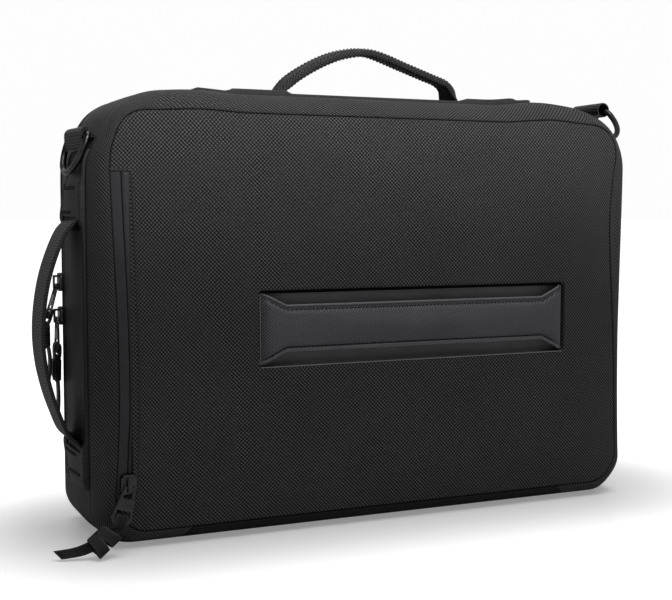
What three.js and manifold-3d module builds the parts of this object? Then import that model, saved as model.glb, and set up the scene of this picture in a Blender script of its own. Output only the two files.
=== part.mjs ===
import * as THREE from 'three';
import { mergeVertices } from 'three/addons/utils/BufferGeometryUtils.js';
import Module from 'manifold-3d';

const wasm = await Module();
wasm.setup();

// Driving sizes in millimetres. X runs along the bag, Y from its back face to its front, Z up.
// The origin is the middle of the flat bottom.
const bagWidth = 428;
const bagHeight = 305;
const backDepth = 52; // from the middle plane to the back seam
const frontDepth = 56; // from the middle plane to the front seam
const topCorner = 52; // radius of the outline at the top corners
const bottomCorner = 24;
const backRoll = 24; // depth of the soft roll between the back seam and the side wall
const frontRoll = 12;
const sideInset = 11; // how far the seams lie inside the outline
const topInset = 14.5;
const bottomInset = 10.8;
const seamTopCorner = 27; // radius of the seam line at its corners
const seamBottomCorner = 25;
const cloth = 2.6; // padded outer cloth
const gap = 0.3; // between two pieces that are sewn together
const backCrown = 5.5; // how far each face swells past its seam
const frontCrown = 6;
const bootHeight = 36; // the smooth base cloth climbs this far up both ends
const baseStripHalf = 157; // half length of the smooth strip under the back roll

// Soft set of the filled bag: how far its cloth stands in or out of the plain form
const leftBarrel = 2; // the left wall turns in towards its back
const barrelStart = 6; // from this depth
const leftSeamOut = 1.5; // the left back seam lies this much further out
const leftWaist = 5.2; // pull on the left back seam, most at mid height
const rightWaist = 2.6; // pull on the whole right roll, most below mid height
const rightSeamPull = 8.5; // pull on its seam alone, most above mid height
const ringDent = 4; // dent of the left corner under its ring
const dentAngle = 27; // in degrees above the corner's middle
const dentSpread = 17;
const bottomTuck = 3.2; // the back roll's bottom corners are rounder than the base
const tuckReach = 30;
// Swells of the top beyond the ends of its patch, from their middle to their foot
const swells = {
  left: { x: -140, reach: 36, rise: 1.8 },
  right: { x: 138, reach: 44, rise: 3.2 },
};

// Main zip, round the ends and the top
const mainZipWidth = 14;
const zipRecess = 1;
const tape = 1.3;

// Pocket zip beside the left seam of the back face
const pocketZipWidth = 14.5;
const pocketZipTop = 251;
const pocketZipBottom = 36;
const zipCorner = 1; // radius of the notch's corners

// Pass-through window and its strap
const windowWidth = 249;
const windowHeight = 53;
const windowX = 23.5;
const windowZ = 143.5;
const windowCorner = 3;
const strapHeight = 33;
const strapFlare = 20; // length of each widening end
const strapThick = 4;
const strapTuck = 7;
const liningDepth = 11; // how far the lining lies behind the back cloth
const lining = 1.4;
const liningMargin = 9;

// Leather-like patches and the handles that come out of their slits
const leather = 1.8;
const patchEdge = 1;
const topPatchLength = 270;
const slitLength = 6;
const slitBack = 2; // room behind the handle where it bends out
const slitClear = 0.8;
const webbing = 2.6;
const sideHandleWidth = 38;
const sideHandleSpan = 156; // between the slits
const sideHandleZ = 141;
const sideHandleReach = 25.5;
const topSlits = [-69, 80];
const topHandleRise = 37;
const gripWidth = 21;
const gripThick = 5.8;
const gripFoot = 28; // width of the handle where it spreads into its slit
const tailThick = 1.4; // the webbing is pressed flat under its patch
const sideTail = 18;
const topTail = 34;
const gripLean = 0.14; // the top handle leans towards the back face by this slope

// Strap rings and the webbing tabs that hold them
const ringWire = 4;
const ringInside = 39;
const ringDrop = 27;
const tabWidth = 38;
const tabCloth = 1.2;
const tabClear = 0.3; // round the ring's bar
const leftRingAngle = 25; // place on the corner, in degrees above its middle
const leftRingTilt = 19; // how far the ring hangs out from vertical
const leftRingTurn = 5;
const leftRingY = -4;
const rightRingAngle = 48;
const rightRingTilt = 45;
const rightRingStand = 18.8; // how far the right tab stands off the corner
const rightLoopInside = 4.6; // radius of its loose loop
const rightRingY = -2;

// Zip sliders, their metal pullers and leather pulls
const sliderWidth = 10.5;
const sliderLength = 13;
const sliderHeight = 5;
const bridgeWidth = 3;
const bridgeHeight = 3.7;
const pullerLength = 26;
const pullerTop = 8;
const pullerFoot = 14;
const pullerThick = 1.6;
const pullWidth = 8;
const pullThick = 1.8;
const knotWidth = 15;
const knotLength = 20;
const knotThick = 5;

const outlineHalf = bagWidth / 2;
const seamHalf = outlineHalf - sideInset;
const gussetBack = -(backDepth - backRoll);
const zipFront = frontDepth - frontRoll;
const gussetFront = zipFront - mainZipWidth;
const seamMiddle = (bottomInset + bagHeight - topInset) / 2;
const seamRise = (bagHeight - topInset - bottomInset) / 2;

const group = new THREE.Group();

const vector = (x, y, z) => new THREE.Vector3(x, y, z);

const finishes = {
  weave: { color: 0x1d1c1e, roughness: 0.85, metalness: 0 },
  baseCloth: { color: 0x222124, roughness: 0.7, metalness: 0 },
  lining: { color: 0x141416, roughness: 0.75, metalness: 0 },
  strapCloth: { color: 0x252428, roughness: 0.6, metalness: 0 },
  leather: { color: 0x2c2a2b, roughness: 0.55, metalness: 0 },
  webbing: { color: 0x18181a, roughness: 0.85, metalness: 0 },
  zipTape: { color: 0x202024, roughness: 0.45, metalness: 0 },
  metal: { color: 0x2a2a2d, roughness: 0.35, metalness: 1 },
};

const smooth = (t) => {
  const c = Math.min(1, Math.max(0, t));
  return c * c * (3 - 2 * c);
};

// A rounded rectangle in the XZ plane. Stations 0 to 9 run from the middle of the bottom edge to
// the right, over the top and back: whole numbers are the ends of its straights and corners.
function roundedLine(half, low, high, lowRadius, highRadius) {
  const line = (ax, az, bx, bz) => (t) => [ax + (bx - ax) * t, az + (bz - az) * t];
  const arc = (cx, cz, r, start) => (t) => {
    const a = ((start + 90 * t) * Math.PI) / 180;
    return [cx + r * Math.cos(a), cz + r * Math.sin(a)];
  };
  const lowX = half - lowRadius;
  const highX = half - highRadius;
  const lowZ = low + lowRadius;
  const highZ = high - highRadius;
  const stretches = [
    line(0, low, lowX, low),
    arc(lowX, lowZ, lowRadius, -90),
    line(half, lowZ, half, highZ),
    arc(highX, highZ, highRadius, 0),
    line(highX, high, -highX, high),
    arc(-highX, highZ, highRadius, 90),
    line(-half, highZ, -half, lowZ),
    arc(-lowX, lowZ, lowRadius, 180),
    line(-lowX, low, 0, low),
  ];
  return (station) => {
    const n = Math.min(8, Math.floor(station));
    return stretches[n](station - n);
  };
}

const outline = roundedLine(outlineHalf, 0, bagHeight, bottomCorner, topCorner);
const seam = roundedLine(
  seamHalf, bottomInset, bagHeight - topInset, seamBottomCorner, seamTopCorner);

// Stations of named heights and places
const sideRun = bagHeight - topCorner - bottomCorner;
const rightAt = (z) => 2 + (z - bottomCorner) / sideRun;
const bottomAt = (x) => {
  const run = outlineHalf - bottomCorner;
  return x >= 0 ? x / run : 9 + x / run;
};
// The boots end low on the sides or, if they are short, on the corners
const bootRight = bootHeight > bottomCorner ? rightAt(bootHeight)
  : 1 + Math.acos(1 - bootHeight / bottomCorner) / (Math.PI / 2);
const bootLeft = 9 - bootRight;

// Shares of each stretch where the walls have an edge; the top has one at the feet and middles
// of its swells
const evenly = (steps) => Array.from({ length: steps }, (_, k) => k / steps);
const topHalf = outlineHalf - topCorner;
const topMarks = [
  swells.right.x, 116, swells.right.x - swells.right.reach, 64, 32, 0,
  -35, -70, swells.left.x + swells.left.reach, -122, swells.left.x,
].map((x) => (topHalf - x) / (2 * topHalf));
const leftMarks = [0, 0.045, 0.12, 0.25, 0.4, 0.55, 0.7, 0.85]; // close together by the dent
const cornerSteps = 6;
const stretchShares = [
  evenly(3), evenly(5), evenly(8), evenly(cornerSteps), [0, ...topMarks],
  evenly(cornerSteps), leftMarks, evenly(5), evenly(3),
];

// The stations from one place to another, close together on the corners
function stations(from, to) {
  const list = [from];
  stretchShares.forEach((shares, n) => {
    list.push(...shares.map((share) => n + share).filter((s) => s > from + 0.02 && s < to - 0.02));
  });
  list.push(to);
  return list;
}

const ringStations = stations(0, 9).slice(0, -1);

// A place on the walls: inward is measured from the outline towards the seam line
function wallPoint(station, inward, y) {
  const [ox, oz] = outline(station);
  const [sx, sz] = seam(station);
  const length = Math.hypot(sx - ox, sz - oz);
  return new THREE.Vector3(
    ox + ((sx - ox) * inward) / length, y, oz + ((sz - oz) * inward) / length);
}

function insetAt(station) {
  const [ox, oz] = outline(station);
  const [sx, sz] = seam(station);
  return Math.hypot(sx - ox, sz - oz);
}

// The set that use gives the cloth, as a shift of every point
function soften(p) {
  const up = Math.min(1, Math.max(0, p.z / bagHeight));
  const side = smooth((Math.abs(p.x) / outlineHalf - 0.72) / 0.22);
  const rollPart = smooth((-34 - p.y) / 10);
  const seamPart = smooth((-45 - p.y) / 6);
  const most = (share) => Math.sin(Math.PI * up ** share) ** 2;
  const turnIn = Math.min(1, Math.max(0, (barrelStart - p.y) / (barrelStart - gussetBack)));
  const inwards = p.x < 0
    ? leftBarrel * turnIn + (leftWaist * most(0.7) - leftSeamOut) * rollPart
    : rightWaist * most(0.65) * rollPart + rightSeamPull * most(2.1) * seamPart;
  const fromX = p.x + outlineHalf - topCorner;
  const fromZ = p.z - bagHeight + topCorner;
  const angle = (Math.atan2(fromZ, -fromX) * 180) / Math.PI;
  const far = smooth((Math.hypot(fromX, fromZ) - 20) / 25);
  const along = 0.6 + 0.4 * smooth((p.y + 40) / 14) - 0.25 * smooth((p.y - 24) / 16);
  const dent = ringDent * far * along * Math.exp(-(((angle - dentAngle) / dentSpread) ** 2));
  const bump = ({ x, reach, rise }) => rise * Math.max(0, 1 - Math.abs(p.x - x) / reach);
  const rise = smooth((p.z - 268) / 30) * (bump(swells.left) + bump(swells.right));
  const low = smooth((Math.abs(p.x) - outlineHalf + tuckReach) / tuckReach)
    * smooth((tuckReach - p.z) / tuckReach);
  const tuck = bottomTuck * low * rollPart;
  const a = (dentAngle * Math.PI) / 180;
  return new THREE.Vector3(
    p.x - Math.sign(p.x) * (side * inwards + tuck) + dent * Math.cos(a),
    p.y,
    p.z - dent * Math.sin(a) + rise + tuck,
  );
}

// A closed solid from rows of points: rows are joined one to the next and capped at the ends
function solidFromRows(rows, closed) {
  const count = rows[0].length;
  const position = rows.flat().flatMap((p) => [p.x, p.y, p.z]);
  const index = [];
  const at = (i, j) => (i % rows.length) * count + (j % count);
  const last = closed ? rows.length : rows.length - 1;
  for (let i = 0; i < last; i += 1) {
    for (let j = 0; j < count; j += 1) {
      index.push(at(i, j), at(i + 1, j), at(i + 1, j + 1));
      index.push(at(i, j), at(i + 1, j + 1), at(i, j + 1));
    }
  }
  return { position, index, at, count, rows: rows.length };
}

// Turns a solid inside out if its faces point inwards
function facingOut(position, index) {
  const corner = (i) => new THREE.Vector3().fromArray(position, 3 * i);
  let volume = 0;
  for (let t = 0; t < index.length; t += 3) {
    volume += corner(index[t]).dot(corner(index[t + 1]).cross(corner(index[t + 2])));
  }
  if (volume < 0) index.reverse();
  const geometry = new THREE.BufferGeometry();
  geometry.setAttribute('position', new THREE.Float32BufferAttribute(position, 3));
  geometry.setIndex(index);
  return geometry;
}

// A wall of cloth: place(u, v, side) gives its outer face at side 0 and its inner face at side 1
function wall(us, vs, place, closed = false) {
  const rows = us.map((u) => [
    ...vs.map((v) => place(u, v, 0)),
    ...vs.map((v) => place(u, v, 1)).reverse(),
  ]);
  const made = solidFromRows(rows, closed);
  if (!closed) {
    const across = vs.length;
    for (const i of [0, made.rows - 1]) {
      for (let j = 0; j < across - 1; j += 1) {
        const a = made.at(i, j);
        const b = made.at(i, j + 1);
        const c = made.at(i, made.count - 2 - j);
        const d = made.at(i, made.count - 1 - j);
        if (i === 0) made.index.push(a, b, c, a, c, d);
        else made.index.push(a, c, b, a, d, c);
      }
    }
  }
  return facingOut(made.position, made.index);
}

// A section swept along points: across(i) is the section's width direction,
// section(i) lists its corners as [out, across]
function sweep(points, across, section, closed = false) {
  const n = points.length;
  const rows = points.map((p, i) => {
    const before = points[closed ? (i + n - 1) % n : Math.max(0, i - 1)];
    const after = points[closed ? (i + 1) % n : Math.min(n - 1, i + 1)];
    const wide = across(i).clone().normalize();
    const out = new THREE.Vector3().subVectors(after, before).cross(wide).normalize();
    return section(i).map(([o, w]) => p.clone().addScaledVector(out, o).addScaledVector(wide, w));
  });
  const made = solidFromRows(rows, closed);
  if (!closed) {
    for (let j = 1; j < made.count - 1; j += 1) {
      made.index.push(made.at(0, 0), made.at(0, j), made.at(0, j + 1));
      made.index.push(made.at(n - 1, 0), made.at(n - 1, j + 1), made.at(n - 1, j));
    }
  }
  return facingOut(made.position, made.index);
}

const flatSection = (thick, wide) => [
  [-thick / 2, -wide / 2], [thick / 2, -wide / 2], [thick / 2, wide / 2], [-thick / 2, wide / 2],
];

// The same with an edge where the wall under it turns
const foldedSection = (thick, wide, fold) => [
  [-thick / 2, -wide / 2], [thick / 2, -wide / 2], [thick / 2, fold], [thick / 2, wide / 2],
  [-thick / 2, wide / 2], [-thick / 2, fold],
];

function softSection(thick, wide) {
  const t = thick / 2;
  const w = wide / 2;
  const c = thick * 0.3;
  return [
    [-t, -w + c], [-t + c, -w], [t - c, -w], [t, -w + c],
    [t, w - c], [t - c, w], [-t + c, w], [-t, w - c],
  ];
}

function toSolid(geometry) {
  const bare = geometry.clone();
  bare.deleteAttribute('normal');
  bare.deleteAttribute('uv');
  const merged = mergeVertices(bare, 1e-4);
  return new wasm.Manifold(new wasm.Mesh({
    numProp: 3,
    vertProperties: new Float32Array(merged.attributes.position.array),
    triVerts: new Uint32Array(merged.index.array),
  }));
}

function toGeometry(solid) {
  const mesh = solid.getMesh();
  const geometry = new THREE.BufferGeometry();
  geometry.setAttribute('position', new THREE.Float32BufferAttribute(mesh.vertProperties, 3));
  geometry.setIndex([...mesh.triVerts]);
  return geometry;
}

const joined = (...parts) => toGeometry(parts.map(toSolid).reduce((a, b) => a.add(b)));
const cut = (part, ...tools) => toGeometry(tools.map(toSolid).reduce((a, b) => a.subtract(b),
  toSolid(part)));

function box(x0, x1, y0, y1, z0, z1) {
  const geometry = new THREE.BoxGeometry(x1 - x0, y1 - y0, z1 - z0);
  return geometry.translate((x0 + x1) / 2, (y0 + y1) / 2, (z0 + z1) / 2);
}

function roundedShape(x0, x1, z0, z1, r) {
  const shape = new THREE.Shape();
  shape.moveTo(x0 + r, z0);
  shape.lineTo(x1 - r, z0).absarc(x1 - r, z0 + r, r, -Math.PI / 2, 0);
  shape.lineTo(x1, z1 - r).absarc(x1 - r, z1 - r, r, 0, Math.PI / 2);
  shape.lineTo(x0 + r, z1).absarc(x0 + r, z1 - r, r, Math.PI / 2, Math.PI);
  shape.lineTo(x0, z0 + r).absarc(x0 + r, z0 + r, r, Math.PI, 1.5 * Math.PI);
  return shape;
}

// A shape drawn in X and Z, given thickness from y0 to y1
function plate(shape, y0, y1, curveSegments = 4) {
  const options = { depth: y1 - y0, bevelEnabled: false, curveSegments };
  return new THREE.ExtrudeGeometry(shape, options).rotateX(Math.PI / 2).translate(0, y1, 0);
}

function softened(geometry) {
  const position = geometry.attributes.position;
  for (let i = 0; i < position.count; i += 1) {
    const p = soften(new THREE.Vector3().fromBufferAttribute(position, i));
    position.setXYZ(i, p.x, p.y, p.z);
  }
  return geometry;
}

function add(name, geometry, finish, softly = true) {
  const bare = geometry.clone();
  bare.deleteAttribute('normal');
  bare.deleteAttribute('uv');
  const made = mergeVertices(bare, 1e-4);
  if (softly) softened(made);
  made.computeVertexNormals();
  const mesh = new THREE.Mesh(made, new THREE.MeshStandardMaterial(finishes[finish]));
  mesh.name = name;
  group.add(mesh);
}

// Where the back and front faces lie
const swell = (x, z) => (1 - Math.min(1, Math.abs(x) / seamHalf) ** 8)
  * (1 - Math.min(1, Math.abs(z - seamMiddle) / seamRise) ** 8);
const backFace = (x, z) => -backDepth - backCrown * swell(x, z);
const frontFace = (x, z) => frontDepth + frontCrown * swell(x, z);

// A face panel in rings from the seam line to its middle
function facePanel(face, inwards, rings) {
  const shrink = (seamHalf - gap) / seamHalf;
  const ringPoint = (station, ring, side) => {
    const [sx, sz] = seam(station);
    const x = sx * shrink * ring;
    const z = seamMiddle + (sz - seamMiddle) * shrink * ring;
    return new THREE.Vector3(x, face(x, z) + side * cloth * inwards, z);
  };
  const rows = ringStations.map((s) => [
    ...rings.map((r) => ringPoint(s, r, 0)).reverse(),
    ...rings.map((r) => ringPoint(s, r, 1)),
  ]);
  const made = solidFromRows(rows, true);
  // The strip between the innermost rings is replaced by a fan on each face
  const keep = [];
  const count = made.count;
  for (let t = 0; t < made.index.length; t += 3) {
    const cols = [0, 1, 2].map((k) => made.index[t + k] % count);
    if (!(cols.includes(0) && cols.includes(count - 1))) keep.push(...made.index.slice(t, t + 3));
  }
  const middles = [0, 1].map((side) => {
    const y = face(0, seamMiddle) + side * cloth * inwards;
    made.position.push(0, y, seamMiddle);
    return made.position.length / 3 - 1;
  });
  for (let i = 0; i < made.rows; i += 1) {
    keep.push(made.at(i, 0), middles[0], made.at(i + 1, 0));
    keep.push(made.at(i + 1, count - 1), middles[1], made.at(i, count - 1));
  }
  return facingOut(made.position, keep);
}

// Back face, with the pass-through window and the notch where the pocket zip lies
const windowLeft = windowX - windowWidth / 2;
const windowRight = windowX + windowWidth / 2;
const windowLow = windowZ - windowHeight / 2;
const windowHigh = windowZ + windowHeight / 2;
const zipLeft = -seamHalf + gap;
const zipRight = -seamHalf + pocketZipWidth;
const zipMiddle = (zipLeft + zipRight) / 2;

function backPanel() {
  const opening = plate(
    roundedShape(windowLeft, windowRight, windowLow, windowHigh, windowCorner),
    -backDepth - 4 * backCrown, -backDepth + 4 * cloth);
  const notch = plate(
    roundedShape(-outlineHalf - 5, zipRight, pocketZipBottom, pocketZipTop, zipCorner),
    -backDepth - 4 * backCrown, -backDepth + 4 * cloth);
  add('back_panel', cut(facePanel(backFace, 1, [1, 0.97, 0.92, 0.8, 0.5]), opening, notch), 'weave');
}

const spread = (from, to, steps) => Array.from(
  { length: steps + 1 }, (_, i) => from + ((to - from) * i) / steps);

// Smooth lining that shows above and below the pass-through strap
function passLining() {
  const us = spread(windowLeft - liningMargin, windowRight + liningMargin, 12);
  const vs = spread(windowLow - liningMargin, windowHigh + liningMargin, 8);
  const place = (x, z, side) => {
    const endways = Math.min(x - us[0], us.at(-1) - x) / liningMargin;
    const upright = Math.min(z - vs[0], vs.at(-1) - z) / liningMargin;
    const sunk = smooth(endways - 0.4) * smooth(upright - 0.4);
    const behindStrap = 3 * gap + webbing;
    const back = cloth + gap + (1 - smooth(endways - 0.7)) * behindStrap;
    return new THREE.Vector3(
      x, backFace(x, z) + back + Math.max(0, liningDepth - back) * sunk + side * lining, z);
  };
  add('pass_lining', wall(us, vs, place), 'lining');
}

// Padded strap across the window: full height at its ends, narrower between its knees
function passStrap() {
  const us = [
    windowLeft - strapTuck, windowLeft - gap, windowLeft + 2, windowLeft + strapFlare / 2,
    ...spread(windowLeft + strapFlare, windowRight - strapFlare, 9),
    windowRight - strapFlare / 2, windowRight - 2, windowRight + gap, windowRight + strapTuck,
  ];
  const place = (x, v, side) => {
    const fromEnd = Math.min(x - windowLeft, windowRight - x);
    const narrow = Math.min(1, Math.max(0, fromEnd / strapFlare));
    const height = windowHeight - 2 * gap - (windowHeight - strapHeight) * narrow;
    const z = windowZ + (v * height) / 2;
    const rise = smooth((fromEnd - 2 * gap) / 6);
    const thick = webbing + (strapThick - webbing) * rise * Math.sqrt(1 - 0.8 * v * v);
    const tucked = cloth + 2 * gap;
    const y = backFace(x, z) + tucked * (1 - rise) + webbing - (side ? 0 : thick);
    return new THREE.Vector3(x, y, z);
  };
  add('pass_strap', wall(us, [-1, -0.75, 0, 0.75, 1], place), 'strapCloth');
}

// The two tapes of the pocket zip, meeting on its middle line
function pocketZip() {
  const y = -backDepth + 2 * gap;
  const zs = spread(pocketZipBottom + zipCorner, pocketZipTop - zipCorner, 7);
  const sides = {
    pocket_tape_left: [zipLeft, zipMiddle - gap / 2],
    pocket_tape_right: [zipMiddle + gap / 2, zipRight - gap],
  };
  for (const [name, [x0, x1]] of Object.entries(sides)) {
    const place = (z, x, side) => new THREE.Vector3(x, y + side * tape, z);
    add(name, wall(zs, [x0, x1], place), 'zipTape');
  }
}

// Soft roll between a seam and the side wall, a quarter oval in section
function roll(name, finish, seamY, depth, steps, from, to) {
  const away = Math.sign(seamY);
  const angles = spread(0, Math.PI / 2, steps);
  const place = (station, angle, side) => {
    const inset = insetAt(station);
    const thin = side * cloth;
    const inward = thin + (inset - thin) * (1 - Math.sin(angle));
    const y = seamY - away * depth + away * (depth - thin) * Math.cos(angle);
    return wallPoint(station, inward, y);
  };
  const whole = from === undefined;
  add(name, wall(whole ? ringStations : stations(from, to), angles, place, whole), finish);
}

// A band of wall between two depths
function band(name, finish, ys, inward, thick) {
  const place = (station, y, side) => wallPoint(station, inward + side * thick, y);
  add(name, wall(stations(bootRight, bootLeft), ys, place), finish);
}

function shell() {
  const stripRight = bottomAt(baseStripHalf);
  const stripLeft = bottomAt(-baseStripHalf);
  const stationGap = gap / outlineHalf;
  roll('back_roll', 'weave', -backDepth, backRoll, 4, stripRight + stationGap, stripLeft - stationGap);
  baseStrip(stripRight, stripLeft);
  band('gusset', 'weave', [gussetBack + gap, barrelStart, gussetFront - gap], 0, cloth);
  base();
  const middle = (gussetFront + zipFront) / 2;
  band('main_tape_back', 'zipTape', [gussetFront, middle - gap / 2], zipRecess, tape);
  band('main_tape_front', 'zipTape', [middle + gap / 2, zipFront - gap], zipRecess, tape);
  roll('front_roll', 'weave', frontDepth, frontRoll, 3);
  add('front_panel', facePanel(frontFace, -1, [1, 0.95, 0.84, 0.5]), 'weave');
}

// Smooth strip of the back roll along the bottom, across the middle of the bottom edge
function baseStrip(stripRight, stripLeft) {
  const turn = (station) => (station < 0 ? station + 9 : station);
  const us = [
    ...spread(stripLeft - 9, 0, 5).slice(0, -1), ...spread(0, stripRight, 5),
  ];
  const place = (station, angle, side) => {
    const inset = insetAt(turn(station));
    const thin = side * cloth;
    const inward = thin + (inset - thin) * (1 - Math.sin(angle));
    return wallPoint(turn(station), inward, gussetBack - (backRoll - thin) * Math.cos(angle));
  };
  add('base_strip', wall(us, spread(0, Math.PI / 2, 4), place), 'baseCloth');
}

// Flat bottom that climbs both ends as boots
function base() {
  const turn = (station) => (station < 0 ? station + 9 : station);
  const low = stations(0, bootRight - gap / bottomCorner);
  const us = [...low.slice(1).map((s) => -s).reverse(), ...low];
  const place = (station, y, side) => wallPoint(turn(station), side * cloth, y);
  const ys = [gussetBack + gap, barrelStart, zipFront - gap];
  add('base', wall(us, ys, place), 'baseCloth');
}

// A patch lies on the gusset and rises over the handle's ends beyond its slits.
// Along is measured on the wall, up is the height off it.
function patch(from, to, slits, tail, knees, at) {
  const raised = tailThick + 3 * gap;
  const [lowSlit, highSlit] = slits;
  const tailEnd = tail + 4;
  const lift = (along) => {
    const low = smooth((lowSlit + slitLength - along) / slitLength)
      * smooth((along - (lowSlit - tailEnd)) / 6 + 1);
    const high = smooth((along - (highSlit - slitLength)) / slitLength)
      * smooth((highSlit + tailEnd - along) / 6 + 1);
    return gap + (raised - gap) * Math.max(low, high);
  };
  const marks = [
    from, from + 3, lowSlit - tailEnd - 6, lowSlit - tailEnd - 3, lowSlit - tailEnd,
    lowSlit - 6, lowSlit, lowSlit + slitLength / 2, lowSlit + slitLength,
    ...spread(lowSlit + slitLength, highSlit - slitLength, 6).slice(1, -1),
    highSlit - slitLength, highSlit - slitLength / 2, highSlit, highSlit + 6,
    highSlit + tailEnd, highSlit + tailEnd + 3, highSlit + tailEnd + 6, ...knees, to,
  ].filter((m, i, all) => i === 0 || m > all[i - 1] + 0.2);
  const inner = gussetFront - gussetBack - 2 * patchEdge;
  const y0 = gussetBack + patchEdge;
  const ys = [0, 0.06, 0.2, 0.8, 0.94, 1].map((share) => y0 + inner * share);
  ys.splice(3, 0, barrelStart);
  const place = (along, y, side) => at(along, y, lift(along) + (side ? 0 : leather));
  return softened(wall(marks, ys, place));
}

// Side patch with its slits for the side handle
const sideSlits = [sideHandleZ - sideHandleSpan / 2, sideHandleZ + sideHandleSpan / 2];

// It ends on the first edge of the corner, measured along the wall
const sidePatchTop = bagHeight - topCorner + (topCorner * Math.PI) / 2 / cornerSteps;

function sidePatch() {
  const at = (z, y, up) => {
    const a = Math.max(0, z - bagHeight + topCorner) / topCorner;
    const r = topCorner + up;
    return new THREE.Vector3(
      -outlineHalf + topCorner - r * Math.cos(a), y,
      a > 0 ? bagHeight - topCorner + r * Math.sin(a) : z);
  };
  const made = patch(
    bootHeight + gap, sidePatchTop, sideSlits, sideTail, [bagHeight - topCorner], at);
  const half = sideHandleWidth / 2 + slitClear;
  const tools = [[sideSlits[0], 1], [sideSlits[1], -1]].map(([z, inward]) => {
    const ends = [z - inward * slitBack, z + inward * slitLength].sort((a, b) => a - b);
    return box(-outlineHalf - 20, -outlineHalf + 5, -half, half, ...ends);
  });
  add('side_patch', cut(made, ...tools), 'leather', false);
}

function topPatch() {
  const at = (x, y, up) => new THREE.Vector3(x, y, bagHeight + up);
  const made = patch(
    -topPatchLength / 2, topPatchLength / 2, topSlits, topTail, [], at);
  const half = gripFoot / 2 + slitClear;
  const tools = [[topSlits[0], 1], [topSlits[1], -1]].map(([x, inward]) => {
    const ends = [x - inward * slitBack, x + inward * slitLength].sort((a, b) => a - b);
    return box(...ends, -half, half, bagHeight - 5, bagHeight + 20);
  });
  add('top_patch', cut(made, ...tools), 'leather', false);
}

// The way a handle takes: along as a share of its span, up as a share of its reach
const sideHandleWay = [
  { along: 0.02, up: 0.12 },
  { along: 0.06, up: 0.36 },
  { along: 0.145, up: 0.58 },
  { along: 0.245, up: 0.78 },
  { along: 0.355, up: 0.93 },
  { along: 0.48, up: 1 },
  { along: 0.61, up: 0.96 },
  { along: 0.755, up: 0.8 },
  { along: 0.88, up: 0.54 },
  { along: 0.95, up: 0.33 },
  { along: 0.985, up: 0.14 },
];

const topHandleWay = [
  { along: 0.02, up: 0.13 },
  { along: 0.09, up: 0.4 },
  { along: 0.2, up: 0.68 },
  { along: 0.31, up: 0.88 },
  { along: 0.4, up: 0.97 },
  { along: 0.47, up: 1 },
  { along: 0.54, up: 0.96 },
  { along: 0.7, up: 0.76 },
  { along: 0.85, up: 0.57 },
  { along: 0.93, up: 0.46 },
  { along: 0.965, up: 0.33 },
  { along: 0.98, up: 0.14 },
];

// Points on a handle's middle line, as [along, up] in millimetres, with its flat ends
function handleLine(way, slits, reach, tail, steps) {
  const [low, high] = slits;
  const flat = gap + tailThick / 2;
  const bends = way.map(({ along, up }) => [low + along * (high - low), up * reach]);
  const knots = [
    [low - tail, flat], [low - tail / 2, flat], [low - 3, flat], [low - 0.4, flat],
    ...bends,
    [high + 0.4, flat], [high + 3, flat], [high + tail / 2, flat], [high + tail, flat],
  ].map(([a, b]) => new THREE.Vector3(a, b, 0));
  return new THREE.CatmullRomCurve3(knots, false, 'centripetal').getPoints(steps);
}

function sideHandle() {
  const line = handleLine(sideHandleWay, sideSlits, sideHandleReach, sideTail, 38);
  const points = line.map((p) => new THREE.Vector3(-outlineHalf - p.y, 0, p.x));
  const wide = new THREE.Vector3(0, 1, 0);
  const section = (i) => foldedSection(
    tailThick + (webbing - tailThick) * smooth((line[i].y - 1) / 5), sideHandleWidth, barrelStart);
  add('side_handle', sweep(points, () => wide, section), 'webbing');
}

function topHandle() {
  const line = handleLine(topHandleWay, topSlits, topHandleRise, topTail, 38);
  const lean = new THREE.Vector3(0, 1, gripLean);
  const points = line.map((p) => new THREE.Vector3(
    p.x, -gripLean * Math.max(0, p.y - tailThick), bagHeight + p.y));
  const grown = line.map((p) => smooth((p.y - 1.5) / 12));
  const section = (i) => softSection(
    tailThick + (gripThick - tailThick) * grown[i], gripFoot + (gripWidth - gripFoot) * grown[i]);
  const wide = (i) => new THREE.Vector3(0, 1, 0).lerp(lean, grown[i]);
  add('top_handle', sweep(points, wide, section), 'weave');
}

// A ring and its tab, drawn round the ring's bar: out of the bar towards the root lies the tab
const tabInside = ringWire / 2 + tabClear;
const ringHalf = (ringInside + ringWire) / 2;

function ringLine() {
  const bend = 3;
  const points = [];
  const add2 = (w, drop) => points.push([w, drop]);
  const arc = (cw, cd, r, a0, a1, steps) => {
    for (const a of spread(a0, a1, steps)) {
      add2(cw + r * Math.cos(a), cd + r * Math.sin(a));
    }
  };
  add2(0, 0);
  arc(ringHalf - bend, bend, bend, -Math.PI / 2, 0, 3);
  arc(0, ringDrop - ringHalf, ringHalf, 0, Math.PI, 14);
  arc(-ringHalf + bend, bend, bend, Math.PI, 1.5 * Math.PI, 3);
  return points;
}

function strapRing(name, pivot, axis, drop) {
  const points = ringLine().map(([w, d]) => pivot.clone()
    .addScaledVector(axis, w).addScaledVector(drop, d));
  const across = new THREE.Vector3().crossVectors(axis, drop);
  const section = spread(0, 2 * Math.PI, 6).slice(0, -1)
    .map((a) => [(ringWire / 2) * Math.cos(a), (ringWire / 2) * Math.sin(a)]);
  add(name, sweep(points, () => across, () => section, true), 'metal', false);
}

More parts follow.
